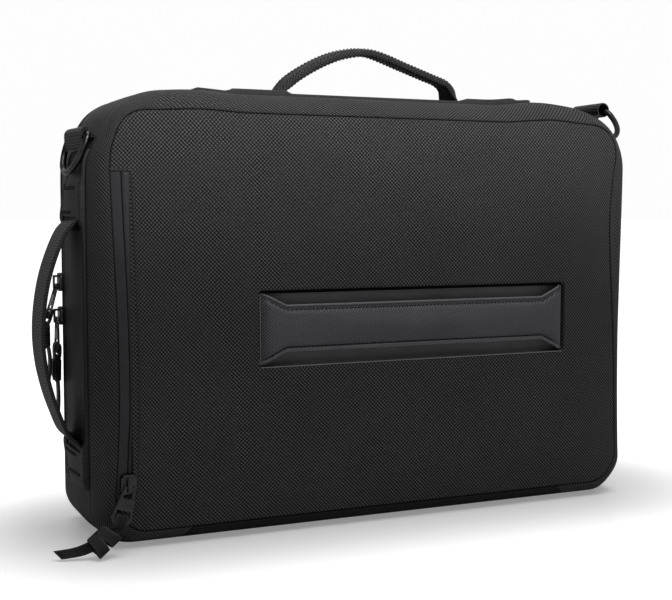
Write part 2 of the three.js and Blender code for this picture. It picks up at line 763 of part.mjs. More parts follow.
function ringTab(name, middle, axis, root, inside) {
  const towards = new THREE.Vector3().subVectors(root, middle);
  const length = towards.length();
  towards.normalize();
  const half = tabCloth + 0.1;
  const outside = inside + tabCloth;
  const turn = Math.asin(half / outside);
  const shape = new THREE.Shape();
  shape.moveTo(length, half);
  shape.lineTo(outside * Math.cos(turn), half);
  shape.absarc(0, 0, outside, turn, 2 * Math.PI - turn);
  shape.lineTo(length, -half);
  const hole = new THREE.Path();
  hole.absarc(0, 0, inside, 0, 2 * Math.PI);
  shape.holes.push(hole);
  const geometry = new THREE.ExtrudeGeometry(
    shape, { depth: tabWidth, bevelEnabled: false, curveSegments: 12 });
  geometry.translate(0, 0, -tabWidth / 2);
  const side = new THREE.Vector3().crossVectors(axis, towards);
  const place = new THREE.Matrix4().makeBasis(towards, side, axis).setPosition(middle);
  add(name, geometry.applyMatrix4(place), 'webbing', false);
}

// A point off a top corner: side is -1 or 1, angle in degrees above the corner's middle
function cornerPoint(side, angle, off, y) {
  const a = (angle * Math.PI) / 180;
  const r = topCorner + off;
  const x = side * (outlineHalf - topCorner + r * Math.cos(a));
  return soften(new THREE.Vector3(x, y, bagHeight - topCorner + r * Math.sin(a)));
}

function turned(angleDegrees) {
  const a = (angleDegrees * Math.PI) / 180;
  return new THREE.Vector3(-Math.sin(a), Math.cos(a), 0);
}

function ringsAndTabs() {
  const hang = (side, tilt, axis) => {
    const a = (tilt * Math.PI) / 180;
    const out = new THREE.Vector3(axis.y, -axis.x, 0).multiplyScalar(side);
    return new THREE.Vector3(0, 0, -Math.cos(a)).addScaledVector(out, Math.sin(a));
  };
  const leftAxis = turned(leftRingTurn);
  const turnRoom = (tabWidth / 2) * Math.sin((leftRingTurn * Math.PI) / 180);
  const off = tabInside + tabCloth + 4 * gap + turnRoom;
  const leftPivot = cornerPoint(-1, leftRingAngle, off, leftRingY);
  const leftRoot = cornerPoint(-1, leftRingAngle + 17, off - 1.2, leftRingY);
  strapRing('left_ring', leftPivot, leftAxis, hang(-1, leftRingTilt, leftAxis));
  ringTab('left_ring_tab', leftPivot, leftAxis, leftRoot, tabInside);
  const rightAxis = turned(0);
  const loop = cornerPoint(1, rightRingAngle, rightRingStand, rightRingY);
  const slack = rightLoopInside - tabInside;
  const rightPivot = loop.clone().add(vector(slack * 0.7, 0, -slack * 0.7));
  const rightRoot = cornerPoint(1, rightRingAngle, 2 * gap, rightRingY);
  strapRing('right_ring', rightPivot, rightAxis, hang(1, rightRingTilt, rightAxis));
  ringTab('right_ring_tab', loop, rightAxis, rightRoot, rightLoopInside);
}

// Slider in its own frame: zip along Z, outwards is -Y, tape face at y 0
function sliderShape() {
  const w = sliderWidth / 2;
  const body = plate(roundedShape(-w, w, -sliderLength / 2, sliderLength / 2, 3),
    -gap - sliderHeight, -gap, 3);
  const crown = -gap - sliderHeight;
  const arch = box(-bridgeWidth / 2, bridgeWidth / 2, crown - bridgeHeight, crown + 0.5, -5, 5);
  const eye = box(-bridgeWidth, bridgeWidth, crown - bridgeHeight + 1.3, crown, -3.5, 3.5);
  return cut(joined(body, arch), eye);
}

const pullerY = -gap - sliderHeight - 1.2; // middle of the puller's plate, inside the bridge
const slotTop = -17;
const slotFoot = -21.5;
const pullerBar = -3;

// Puller: a yoke round the bridge, a plate, and a slot for the leather
function pullerShape() {
  const top = pullerBar + 2;
  const foot = top - pullerLength;
  const shape = new THREE.Shape();
  shape.moveTo(-pullerTop / 2, top);
  shape.lineTo(-pullerFoot / 2, foot + 4);
  shape.lineTo(-pullerFoot / 2 + 2.5, foot);
  shape.lineTo(pullerFoot / 2 - 2.5, foot);
  shape.lineTo(pullerFoot / 2, foot + 4);
  shape.lineTo(pullerTop / 2, top);
  const eye = new THREE.Path();
  eye.setFromPoints([[-2.7, -3], [2.7, -3], [3, -9], [-3, -9]].map(([x, z]) => new THREE.Vector2(x, z)));
  const slot = new THREE.Path();
  slot.setFromPoints([[-4.6, slotTop], [4.6, slotTop], [4.9, slotFoot], [-4.9, slotFoot]]
    .map(([x, z]) => new THREE.Vector2(x, z)));
  shape.holes.push(eye, slot);
  return plate(shape, pullerY - pullerThick / 2, pullerY + pullerThick / 2);
}

// Leather loop through the puller's slot, round the bar below it
function pullLoop() {
  const t = 1.3;
  const reach = pullerThick / 2 + gap + t / 2;
  const foot = pullerBar + 2 - pullerLength;
  const knots = [
    [0, foot - 7], [-reach, foot - 2], [-reach - 0.3, foot + 2], [-reach, slotFoot + 0.2],
    [-reach * 0.5, slotFoot + 1.4], [reach * 0.5, slotFoot + 1.4],
    [reach, slotFoot + 0.2], [reach + 0.3, foot + 2], [reach, foot - 2], [0, foot - 7],
  ];
  const half = knots.slice(0, 5).map(([y, z]) => new THREE.Vector3(0, pullerY + y, z));
  const back = knots.slice(5).map(([y, z]) => new THREE.Vector3(0, pullerY + y, z));
  const line = [...half, ...back];
  const wide = new THREE.Vector3(1, 0, 0);
  const front = line.slice(0, 6);
  const rear = line.slice(4);
  const section = flatSection(t, pullWidth);
  return [sweep(front, () => wide, () => section), sweep(rear, () => wide, () => section)];
}

function knotShape() {
  const w = knotWidth / 2;
  return plate(roundedShape(-w, w, -knotLength / 2, knotLength / 2, 4),
    -knotThick / 2, knotThick / 2, 3);
}

// A leather pull: its loop is in the puller's place, its knot and tail lie where they hang.
// lie gives the way from the loop's foot to the knot's middle and on to the tail's tip.
function pullShape(place, lie) {
  const loops = pullLoop().map((part) => part.applyMatrix4(place));
  const foot = new THREE.Vector3(0, pullerY, pullerBar - 2 - pullerLength).applyMatrix4(place);
  const middle = foot.clone().add(lie.knot);
  const tip = middle.clone().add(lie.tail);
  tip.z = Math.max(tip.z, pullThick / 2 + gap);
  const up = new THREE.Vector3().subVectors(foot, middle).normalize();
  const wide = lie.wide.clone().addScaledVector(up, -lie.wide.dot(up)).normalize();
  const face = new THREE.Vector3().crossVectors(up, wide);
  const turn = new THREE.Matrix4().makeBasis(wide, face, up).setPosition(middle);
  const knot = knotShape().applyMatrix4(turn);
  const bend = middle.clone().lerp(tip, 0.5).add(lie.bend);
  const curve = new THREE.CatmullRomCurve3([middle, bend, tip]);
  const section = flatSection(pullThick, pullWidth);
  const tail = sweep(curve.getPoints(6), () => lie.wide, () => section);
  return joined(...loops, knot, tail);
}

// Where each slider sits, how its puller leans sideways and swings out, in degrees, and how its
// leather lies
const pulls = {
  upper_zip: {
    height: 174, main: true, lean: -4, swing: 17,
    lie: { knot: vector(0, 0, -8), tail: vector(1, -1, -34), bend: vector(2, 0, 0) },
  },
  lower_zip: {
    height: 150, main: true, lean: 5, swing: 0,
    lie: { knot: vector(0, 1, -8), tail: vector(0, 2, -40), bend: vector(1, 0, 0) },
  },
  pocket_zip: {
    height: 44.5, main: false, lean: 18, swing: 6,
    lie: { knot: vector(-12, -4, -2), tail: vector(-28, 6, -18), bend: vector(0, 0, -2) },
  },
};

function zipPulls() {
  const middle = (gussetFront + zipFront) / 2;
  const radians = Math.PI / 180;
  for (const [name, pull] of Object.entries(pulls)) {
    const seat = pull.main ? vector(-outlineHalf + zipRecess, middle, pull.height)
      : soften(vector(zipMiddle, -backDepth + 2 * gap, pull.height));
    const place = new THREE.Matrix4().makeRotationZ(pull.main ? -Math.PI / 2 : 0)
      .setPosition(seat);
    const eye = vector(0, pullerY, pullerBar + 1);
    const turn = new THREE.Matrix4().makeRotationX(-pull.swing * radians)
      .multiply(new THREE.Matrix4().makeRotationY(pull.lean * radians));
    const swing = new THREE.Matrix4().makeTranslation(eye.x, eye.y, eye.z).multiply(turn)
      .multiply(new THREE.Matrix4().makeTranslation(-eye.x, -eye.y, -eye.z));
    const hung = place.clone().multiply(swing);
    const wide = pull.main ? vector(0, 1, 0) : vector(0.6, -0.8, 0);
    add(`${name}_slider`, sliderShape().applyMatrix4(place), 'metal', false);
    add(`${name}_puller`, pullerShape().applyMatrix4(hung), 'metal', false);
    add(`${name}_pull`, pullShape(hung, { ...pull.lie, wide }), 'leather', false);
  }
}

backPanel();
passLining();
passStrap();
pocketZip();
shell();
sidePatch();
sideHandle();
topPatch();
topHandle();
ringsAndTabs();
zipPulls();

export default group;
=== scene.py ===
import math
import bpy
import numpy as np
from mathutils import Matrix, Vector


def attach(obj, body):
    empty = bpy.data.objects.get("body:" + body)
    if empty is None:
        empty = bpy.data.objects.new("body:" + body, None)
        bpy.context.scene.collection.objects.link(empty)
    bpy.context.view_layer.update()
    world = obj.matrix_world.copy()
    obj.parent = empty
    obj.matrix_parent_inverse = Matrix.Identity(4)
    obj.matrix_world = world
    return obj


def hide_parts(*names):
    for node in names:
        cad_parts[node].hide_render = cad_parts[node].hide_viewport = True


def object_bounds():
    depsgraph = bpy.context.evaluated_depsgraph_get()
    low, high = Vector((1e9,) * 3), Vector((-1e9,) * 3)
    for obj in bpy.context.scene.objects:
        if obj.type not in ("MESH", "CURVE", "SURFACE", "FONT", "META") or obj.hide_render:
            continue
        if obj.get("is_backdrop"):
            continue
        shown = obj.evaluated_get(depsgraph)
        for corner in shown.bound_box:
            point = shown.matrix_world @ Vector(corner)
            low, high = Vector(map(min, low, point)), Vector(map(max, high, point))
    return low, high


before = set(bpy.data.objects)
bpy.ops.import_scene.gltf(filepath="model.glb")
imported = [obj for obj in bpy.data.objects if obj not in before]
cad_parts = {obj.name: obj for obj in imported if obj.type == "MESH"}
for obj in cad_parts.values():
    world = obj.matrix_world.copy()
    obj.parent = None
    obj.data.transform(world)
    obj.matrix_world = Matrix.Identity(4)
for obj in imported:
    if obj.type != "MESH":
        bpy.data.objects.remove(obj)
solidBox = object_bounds()
mm = 0.001
print("frame loaded:", len(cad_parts), "nodes")

# Camera at the photograph's angle
shot = {
    "place": (-0.3874, -0.8224, 0.2239), "down": 4.21, "turn": 24.19, "lens": 64.286, "sensor": 36.0,
}
cameraData = bpy.data.cameras.new("photoCamera")
cameraData.lens = shot["lens"]
cameraData.sensor_width = shot["sensor"]
camera = bpy.data.objects.new("photoCamera", cameraData)
camera.location = shot["place"]
camera.rotation_euler = (math.radians(90 - shot["down"]), 0, math.radians(-shot["turn"]))
bpy.context.scene.collection.objects.link(camera)
bpy.context.scene.camera = camera

# Sizes of the bag in millimetres, x along it, y from its back face to its front, z up
bag = {
    "half": 214.0, "height": 305.0, "backY": -52.0, "frontY": 56.0,
    "topCorner": 52.0, "bottomCorner": 24.0, "backRoll": 24.0, "frontRoll": 12.0,
    "sideInset": 11.0, "topInset": 14.5, "bottomInset": 10.8, "seamTop": 27.0, "seamBottom": 25.0,
    "cloth": 2.6, "gap": 0.3, "backCrown": 5.5, "frontCrown": 6.0, "boot": 36.0, "stripHalf": 157.0,
    "gussetBack": -28.0, "gussetFront": 30.0, "zipFront": 44.0,
}
gap = bag["gap"]
seamHalf = bag["half"] - bag["sideInset"]
seamLow = bag["bottomInset"]
seamHigh = bag["height"] - bag["topInset"]
seamMiddle = (seamLow + seamHigh) / 2
seamRise = (seamHigh - seamLow) / 2


def smooth(t):
    t = np.clip(t, 0, 1)
    return t * t * (3 - 2 * t)


# How use has set the filled bag: every cloth piece passes through this
clothSet = {
    "barrel": 2.0, "seamOut": 1.5, "leftWaist": 5.2, "rightWaist": 2.6, "rightSeam": 8.5,
    "dent": 4.0, "dentAngle": 27.0, "dentSpread": 17.0, "tuck": 3.2, "tuckReach": 30.0,
    "swells": [(-140.0, 36.0, 1.8), (138.0, 44.0, 3.2)],
}


def soften(points):
    p = np.asarray(points, float).reshape(-1, 3)
    s = clothSet
    x, y, z = p[:, 0], p[:, 1], p[:, 2]
    up = np.clip(z / bag["height"], 0, 1)
    side = smooth((np.abs(x) / bag["half"] - 0.72) / 0.22)
    rollPart = smooth((-34 - y) / 10)
    seamPart = smooth((-45 - y) / 6)
    turnIn = smooth((6 - y) / 34)
    most = lambda share: np.sin(np.pi * up ** share) ** 2
    left = s["barrel"] * turnIn + (s["leftWaist"] * most(0.7) - s["seamOut"]) * rollPart
    right = s["rightWaist"] * most(0.65) * rollPart + s["rightSeam"] * most(2.1) * seamPart
    inwards = np.where(x < 0, left, right)
    fromX = x + bag["half"] - bag["topCorner"]
    fromZ = z - bag["height"] + bag["topCorner"]
    angle = np.degrees(np.arctan2(fromZ, -fromX))
    far = smooth((np.hypot(fromX, fromZ) - 20) / 25)
    along = 0.6 + 0.4 * smooth((y + 40) / 14) - 0.25 * smooth((y - 24) / 16)
    dent = s["dent"] * far * along * np.exp(-(((angle - s["dentAngle"]) / s["dentSpread"]) ** 2))
    rise = sum(lift * smooth(1 - np.abs(x - at) / reach) for at, reach, lift in s["swells"])
    rise = rise * smooth((z - 268) / 30)
    low = smooth((np.abs(x) - bag["half"] + s["tuckReach"]) / s["tuckReach"])
    tuck = s["tuck"] * low * smooth((s["tuckReach"] - z) / s["tuckReach"]) * rollPart
    a = math.radians(s["dentAngle"])
    moved = p.copy()
    moved[:, 0] += -np.sign(x) * (side * inwards + tuck) + dent * math.cos(a)
    moved[:, 2] += -dent * math.sin(a) + rise + tuck
    return moved


# A rounded rectangle by stations: 0 to 9 from the bottom middle round to the right and over the top
def roundedLine(middle, half, low, high, lowRadius, highRadius):
    lowX, highX = half - lowRadius, half - highRadius
    lowZ, highZ = low + lowRadius, high - highRadius
    corners = [(lowX, lowZ, lowRadius, -90), (highX, highZ, highRadius, 0),
               (-highX, highZ, highRadius, 90), (-lowX, lowZ, lowRadius, 180)]
    straights = [((0, low), (lowX, low)), ((half, lowZ), (half, highZ)),
                 ((highX, high), (-highX, high)), ((-half, highZ), (-half, lowZ)),
                 ((-lowX, low), (0, low))]

    def at(station):
        n = min(8, int(math.floor(station)))
        t = station - n
        if n % 2 == 0:
            (ax, az), (bx, bz) = straights[n // 2]
            return middle + ax + (bx - ax) * t, az + (bz - az) * t
        cx, cz, r, start = corners[n // 2]
        a = math.radians(start + 90 * t)
        return middle + cx + r * math.cos(a), cz + r * math.sin(a)

    return at


outline = roundedLine(0, bag["half"], 0, bag["height"], bag["bottomCorner"], bag["topCorner"])
seam = roundedLine(0, seamHalf, seamLow, seamHigh, bag["seamBottom"], bag["seamTop"])
sideRun = bag["height"] - bag["topCorner"] - bag["bottomCorner"]
bootRight = 2 + (bag["boot"] - bag["bottomCorner"]) / sideRun
bootLeft = 9 - bootRight
stretchSteps = [36, 16, 48, 30, 120, 30, 52, 16, 36]
fineStations = np.concatenate([np.linspace(n, n + 1, k + 1)[:-1] for n, k in enumerate(stretchSteps)])
tableAt = np.linspace(0, 9, 3601)
tableLine = np.array([outline(s) for s in tableAt])
tableRun = np.concatenate([[0], np.cumsum(np.hypot(*np.diff(tableLine, axis=0).T))])


def runAt(station):
    turns = math.floor(station / 9)
    return float(np.interp(station - 9 * turns, tableAt, tableRun)) + turns * tableRun[-1]


def stationAt(run):
    return float(np.interp(run, tableRun, tableAt))


hemSteps = [0, 0.25, 0.7, 1.4, 2.4]


# Values from low to high, close together at both ends where the edge is rounded
def hemmed(low, high, inner):
    ends = np.array(hemSteps)
    middle = [v for v in inner if low + 3.4 < v < high - 3.4]
    return np.concatenate([low + ends, middle, (high - ends)[::-1]])


def evenSteps(low, high, step):
    return hemmed(low, high, np.arange(low + step, high, step))


# Stations with the same close steps at both ends
def stationsBetween(start, end):
    low, high = runAt(start), runAt(end)
    inner = [runAt(s) for s in np.concatenate([fineStations - 9, fineStations])]
    runs = hemmed(low, high, sorted(inner))
    return [stationAt(r) if r >= 0 else stationAt(r + tableRun[-1]) - 9 for r in runs]


# How far a rounded edge falls back at a distance from it
def hem(distance, radius=1.3):
    d = min(max(distance, 0), radius)
    return radius - math.sqrt(max(0, radius * radius - (radius - d) ** 2))


def wallPoint(station, inward, y):
    s = station % 9 if station < 0 else station
    ox, oz = outline(s)
    sx, sz = seam(s)
    length = math.hypot(sx - ox, sz - oz)
    return ox + (sx - ox) * inward / length, y, oz + (sz - oz) * inward / length


def insetAt(station):
    s = station % 9 if station < 0 else station
    ox, oz = outline(s)
    sx, sz = seam(s)
    return math.hypot(sx - ox, sz - oz)


def swellAt(x, z):
    return (1 - min(1, abs(x) / seamHalf) ** 8) * (1 - min(1, abs(z - seamMiddle) / seamRise) ** 8)


# Slight unevenness of filled cloth
def ripple(x, z):
    return 0.35 * math.sin(x / 31 + 1.3 * math.sin(z / 57)) * math.sin(z / 43 + 0.8)


def backFace(x, z):
    return bag["backY"] - (bag["backCrown"] + ripple(x, z)) * swellAt(x, z)


def frontFace(x, z):
    return bag["frontY"] + (bag["frontCrown"] + ripple(x, z)) * swellAt(x, z)


# Turns corner keys into one mesh: flats are cloth coordinates in millimetres, rims mark worn edges
def makePiece(name, points, faces, flats, rims, same=None, sharp=50):
    points = np.asarray(points, float)
    same = np.arange(len(points)) if same is None else np.asarray(same)
    keys = np.array([k for f in faces for k in f])
    used, order = np.unique(same[keys], return_inverse=True)
    sizes = np.array([len(f) for f in faces])
    starts = np.concatenate([[0], np.cumsum(sizes)[:-1]])
    placed = points[used]
    volume = 0.0
    for size in set(sizes.tolist()):
        firsts = starts[sizes == size]
        a = placed[order[firsts]]
        for k in range(1, size - 1):
            b, c = placed[order[firsts + k]], placed[order[firsts + k + 1]]
            volume += float(np.einsum("ij,ij->", a, np.cross(b, c)))
    if volume < 0:
        faces = [tuple(reversed(f)) for f in faces]
        keys = np.array([k for f in faces for k in f])
        order = np.unique(same[keys], return_inverse=True)[1]
    mesh = bpy.data.meshes.new(name)
    corners = [tuple(order[s:s + k].tolist()) for s, k in zip(starts, sizes)]
    mesh.from_pydata((placed * mm).tolist(), [], corners)
    layer = mesh.uv_layers.new(name="cloth")
    layer.data.foreach_set("uv", np.asarray(flats, float)[keys].ravel())
    attribute = mesh.attributes.new("rim", "FLOAT", "POINT")
    attribute.data.foreach_set("value", np.asarray(rims, float)[used])
    mesh.shade_smooth()
    mesh.set_sharp_from_angle(angle=math.radians(sharp))
    piece = bpy.data.objects.new(name, mesh)
    bpy.context.scene.collection.objects.link(piece)
    return piece


# A wall of cloth: place(u, v, side) gives a point, its flat coordinates and its worn edge
def clothWall(name, us, vs, place, closed=False, hole=None, softly=True, sharp=50):
    n, m = len(us), len(vs)
    points, flats, rims, faces = [], [], [], []
    for side in (0, 1):
        for u in us:
            for v in vs:
                point, flat, rim = place(u, v, side)
                points.append(point)
                flats.append(flat)
                rims.append(rim)
    key = lambda side, i, j: (side * n + i) * m + j

    def kept(i, j):
        if closed:
            i %= n - 1
        if not (0 <= i < n - 1 and 0 <= j < m - 1):
            return False
        return hole is None or not hole((us[i] + us[i + 1]) / 2, (vs[j] + vs[j + 1]) / 2)

    for i in range(n - 1):
        for j in range(m - 1):
            if not kept(i, j):
                continue
            a, b, c, d = key(0, i, j), key(0, i + 1, j), key(0, i + 1, j + 1), key(0, i, j + 1)
            e, f, g, h = key(1, i, j), key(1, i + 1, j), key(1, i + 1, j + 1), key(1, i, j + 1)
            faces.append((a, b, c, d))
            faces.append((e, h, g, f))
            if not kept(i, j - 1):
                faces.append((b, a, e, f))
            if not kept(i + 1, j):
                faces.append((c, b, f, g))
            if not kept(i, j + 1):
                faces.append((d, c, g, h))
            if not kept(i - 1, j):
                faces.append((a, d, h, e))
    same = np.arange(len(points))
    if closed:
        for side in (0, 1):
            for j in range(m):
                same[key(side, n - 1, j)] = key(side, 0, j)
    moved = soften(points) if softly else points
    return makePiece(name, moved, faces, flats, rims, same, sharp)


# A section swept along points; section(i) lists its corners as (out, across)
def sweep(name, points, wides, section, closed=False, sharp=50):
    points = [Vector(p) for p in points]
    n = len(points)
    rings = n + 1 if closed else n
    run, rows, flats, rims = 0.0, [], [], []
    for i in range(rings):
        p = points[i % n]
        before = points[(i - 1) % n] if closed else points[max(0, i - 1)]
        after = points[(i + 1) % n] if closed else points[min(n - 1, i + 1)]
        wide = Vector(wides(i % n)).normalized()
        out = (after - before).cross(wide).normalized()
        if i:
            run += (p - points[(i - 1) % n]).length
        corners = section(i % n)
        reach = max(abs(w) for o, w in corners)
        around = 0.0
        for j in range(len(corners) + 1):
            o, w = corners[j % len(corners)]
            if j:
                around += math.hypot(o - corners[j - 1][0], w - corners[j - 1][1])
            rows.append(tuple(p + out * o + wide * w))
            flats.append((run, around))
            rims.append(float(smooth((abs(w) - reach + 1.2) / 1.2)))
    m = len(section(0)) + 1
    key = lambda i, j: i * m + j
    faces = [(key(i, j), key(i + 1, j), key(i + 1, j + 1), key(i, j + 1))
             for i in range(rings - 1) for j in range(m - 1)]
    if not closed:
        faces.append(tuple(key(0, j) for j in range(m - 1)))
        faces.append(tuple(key(n - 1, j) for j in reversed(range(m - 1))))
    same = np.arange(len(rows))
    for i in range(rings):
        same[key(i, m - 1)] = key(i, 0)
    if closed:
        for j in range(m):
            same[key(n, j)] = same[key(0, j)]
    return makePiece(name, rows, faces, flats, rims, same, sharp)


# A flat strip's section with rounded edges, and steps across it
def stripSection(thick, wide, steps=6):
    t, w, r = thick / 2, wide / 2, thick * 0.45
    line = []
    middles = [(w - r, t - r, 0), (-w + r, t - r, 90), (-w + r, -t + r, 180), (w - r, -t + r, 270)]
    for cw, co, start in middles:
        corner = []
        for k in range(4):
            a = math.radians(start + 30 * k)
            corner.append((co + r * math.sin(a), cw + r * math.cos(a)))
        line.append(corner)
    across = np.linspace(w - r, -w + r, steps + 2)[1:-1]
    top = [(t, v) for v in across]
    foot = [(-t, v) for v in across[::-1]]
    return line[0] + top + line[1] + line[2] + foot + line[3]


# A round cord's section
def roundSection(radius, turns):
    angles = np.linspace(0, 2 * math.pi, turns + 1)[:-1]
    return [(radius * math.cos(a), radius * math.sin(a)) for a in angles]


# A smooth curve through points, in the centripetal way
def curveThrough(knots, steps):
    knots = [Vector(k) for k in knots]
    whole = [knots[0] * 2 - knots[1]] + knots + [knots[-1] * 2 - knots[-2]]
    line = []
    for k in range(1, len(whole) - 2):
        p0, p1, p2, p3 = whole[k - 1:k + 3]
        t0 = 0.0
        t1 = t0 + max(1e-6, (p1 - p0).length ** 0.5)
        t2 = t1 + max(1e-6, (p2 - p1).length ** 0.5)
        t3 = t2 + max(1e-6, (p3 - p2).length ** 0.5)
        for step in range(steps):
            t = t1 + (t2 - t1) * step / steps
            a1 = p0 * ((t1 - t) / (t1 - t0)) + p1 * ((t - t0) / (t1 - t0))
            a2 = p1 * ((t2 - t) / (t2 - t1)) + p2 * ((t - t1) / (t2 - t1))
            a3 = p2 * ((t3 - t) / (t3 - t2)) + p3 * ((t - t2) / (t3 - t2))
            b1 = a1 * ((t2 - t) / (t2 - t0)) + a2 * ((t - t0) / (t2 - t0))
            b2 = a2 * ((t3 - t) / (t3 - t1)) + a3 * ((t - t1) / (t3 - t1))
            line.append(b1 * ((t2 - t) / (t2 - t1)) + b2 * ((t - t1) / (t2 - t1)))
    line.append(knots[-1])
    return line


# Stitches along a line of points, each a small thread grain; out is the way off the cloth
def stitchRow(name, line, outs, pitch=3.2, length=2.1, wide=0.55, high=0.35, across=False):
    line = [Vector(p) for p in line]
    runs = [0.0]
    for a, b in zip(line, line[1:]):
        runs.append(runs[-1] + (b - a).length)
    points, faces = [], []
    for run in np.arange(pitch / 2, runs[-1] - pitch / 4, pitch):
        k = max(0, min(len(line) - 2, int(np.searchsorted(runs, run)) - 1))
        t = (run - runs[k]) / max(1e-9, runs[k + 1] - runs[k])
        middle = line[k].lerp(line[k + 1], t)
        way = (line[k + 1] - line[k]).normalized()
        out = Vector(outs(k)).normalized()
        side = way.cross(out).normalized()
        if across:
            way, side = side, way
        first = len(points)
        for turn in range(6):
            a = math.radians(60 * turn)
            ring = side * (wide / 2 * math.cos(a)) + out * (high * max(-0.4, math.sin(a)))
            for share, thin in ((-0.5, 0.35), (-0.28, 1), (0.28, 1), (0.5, 0.35)):
                points.append(tuple(middle + way * (length * share) + ring * thin))
        for turn in range(6):
            here, there = first + 4 * turn, first + 4 * ((turn + 1) % 6)
            for s in range(3):
                faces.append((here + s, here + s + 1, there + s + 1, there + s))
        faces.append(tuple(first + 4 * t for t in range(6)))
        faces.append(tuple(first + 4 * t + 3 for t in reversed(range(6))))
    flats = [(p[0] * 3, p[2] * 3) for p in points]
    return makePiece(name, points, faces, flats, [0.0] * len(points), sharp=80)


def applied(piece):
    shown = piece.evaluated_get(bpy.context.evaluated_depsgraph_get())
    mesh = bpy.data.meshes.new_from_object(shown)
    piece.modifiers.clear()
    piece.data = mesh
    return piece


# Finishes: one shader group for each kind of surface, built once
def newGroup(name, inputs):
    tree = bpy.data.node_groups.new(name, "ShaderNodeTree")
    for label, kind, value in inputs:
        made = tree.interface.new_socket(label, in_out="INPUT", socket_type=kind)
        if value is not None:
            made.default_value = value
    for label, kind in (("Color", "NodeSocketColor"), ("Roughness", "NodeSocketFloat"),
                        ("Height", "NodeSocketFloat")):
        tree.interface.new_socket(label, in_out="OUTPUT", socket_type=kind)
    return tree, tree.nodes.new("NodeGroupInput"), tree.nodes.new("NodeGroupOutput")


def feed(tree, socket, value):
    if isinstance(value, bpy.types.NodeSocket):
        tree.links.new(value, socket)
    else:
        socket.default_value = value


def calc(tree, operation, *values):
    node = tree.nodes.new("ShaderNodeMath")
    node.operation = operation
    for socket, value in zip(node.inputs, values):
        feed(tree, socket, value)
    return node.outputs[0]


def mixColour(tree, amount, first, second, way="MIX"):
    node = tree.nodes.new("ShaderNodeMix")
    node.data_type = "RGBA"
    node.blend_type = way
    feed(tree, node.inputs[0], amount)
    feed(tree, node.inputs[6], first)
    feed(tree, node.inputs[7], second)
    return node.outputs[2]


def noise(tree, place, scale, detail=3.0, rough=0.55):
    node = tree.nodes.new("ShaderNodeTexNoise")
    feed(tree, node.inputs["Vector"], place)
    node.inputs["Scale"].default_value = scale
    node.inputs["Detail"].default_value = detail
    node.inputs["Roughness"].default_value = rough
    return node.outputs[0]


def halfWave(tree, value):
    return calc(tree, "SINE", calc(tree, "MULTIPLY", calc(tree, "FRACT", value), math.pi))


# A value that strays to both sides of its base with an uneven field
def unevenly(tree, base, field, amount):
    away = calc(tree, "SUBTRACT", field, 0.5)
    return calc(tree, "ADD", base, calc(tree, "MULTIPLY", away, amount))


# Heavy basket weave: pillows in slanting rows, with dark pits between their crossings
def basketPattern(tree, u, v):
    along = halfWave(tree, calc(tree, "MULTIPLY", calc(tree, "ADD", u, v), 0.5))
    across = halfWave(tree, calc(tree, "MULTIPLY", calc(tree, "SUBTRACT", u, v), 0.5))
    row = calc(tree, "MULTIPLY_ADD", calc(tree, "POWER", along, 1.5), 0.92, 0.08)
    pillow = calc(tree, "MULTIPLY_ADD", calc(tree, "POWER", across, 1.5), 0.8, 0.2)
    yarn = halfWave(tree, calc(tree, "MULTIPLY", u, 2.0))
    split = calc(tree, "MULTIPLY_ADD", yarn, 0.15, 0.85)
    return calc(tree, "MULTIPLY", calc(tree, "MULTIPLY", row, pillow), split)


def twillPattern(tree, u, v):
    ridge = halfWave(tree, calc(tree, "SUBTRACT", u, v))
    yarn = halfWave(tree, calc(tree, "MULTIPLY", u, 2.0))
    return calc(tree, "MULTIPLY", ridge, calc(tree, "MULTIPLY_ADD", yarn, 0.35, 0.65))


# Webbing: ribs across it, each built of short slanting threads
def ribPattern(tree, u, v):
    zigzag = calc(tree, "PINGPONG", calc(tree, "MULTIPLY", v, 0.3), 1.0)
    slant = calc(tree, "ADD", u, calc(tree, "MULTIPLY", zigzag, 0.5))
    ridge = halfWave(tree, slant)
    thread = halfWave(tree, v)
    return calc(tree, "MULTIPLY", ridge, calc(tree, "MULTIPLY_ADD", thread, 0.3, 0.7))


def grainPattern(tree, u, v):
    joined = tree.nodes.new("ShaderNodeCombineXYZ")
    feed(tree, joined.inputs[0], u)
    feed(tree, joined.inputs[1], v)
    cells = tree.nodes.new("ShaderNodeTexVoronoi")
    cells.feature = "SMOOTH_F1"
    cells.inputs["Scale"].default_value = 1.0
    feed(tree, cells.inputs["Vector"], joined.outputs[0])
    return calc(tree, "SUBTRACT", 1.0, calc(tree, "MULTIPLY", cells.outputs[0], 0.9))


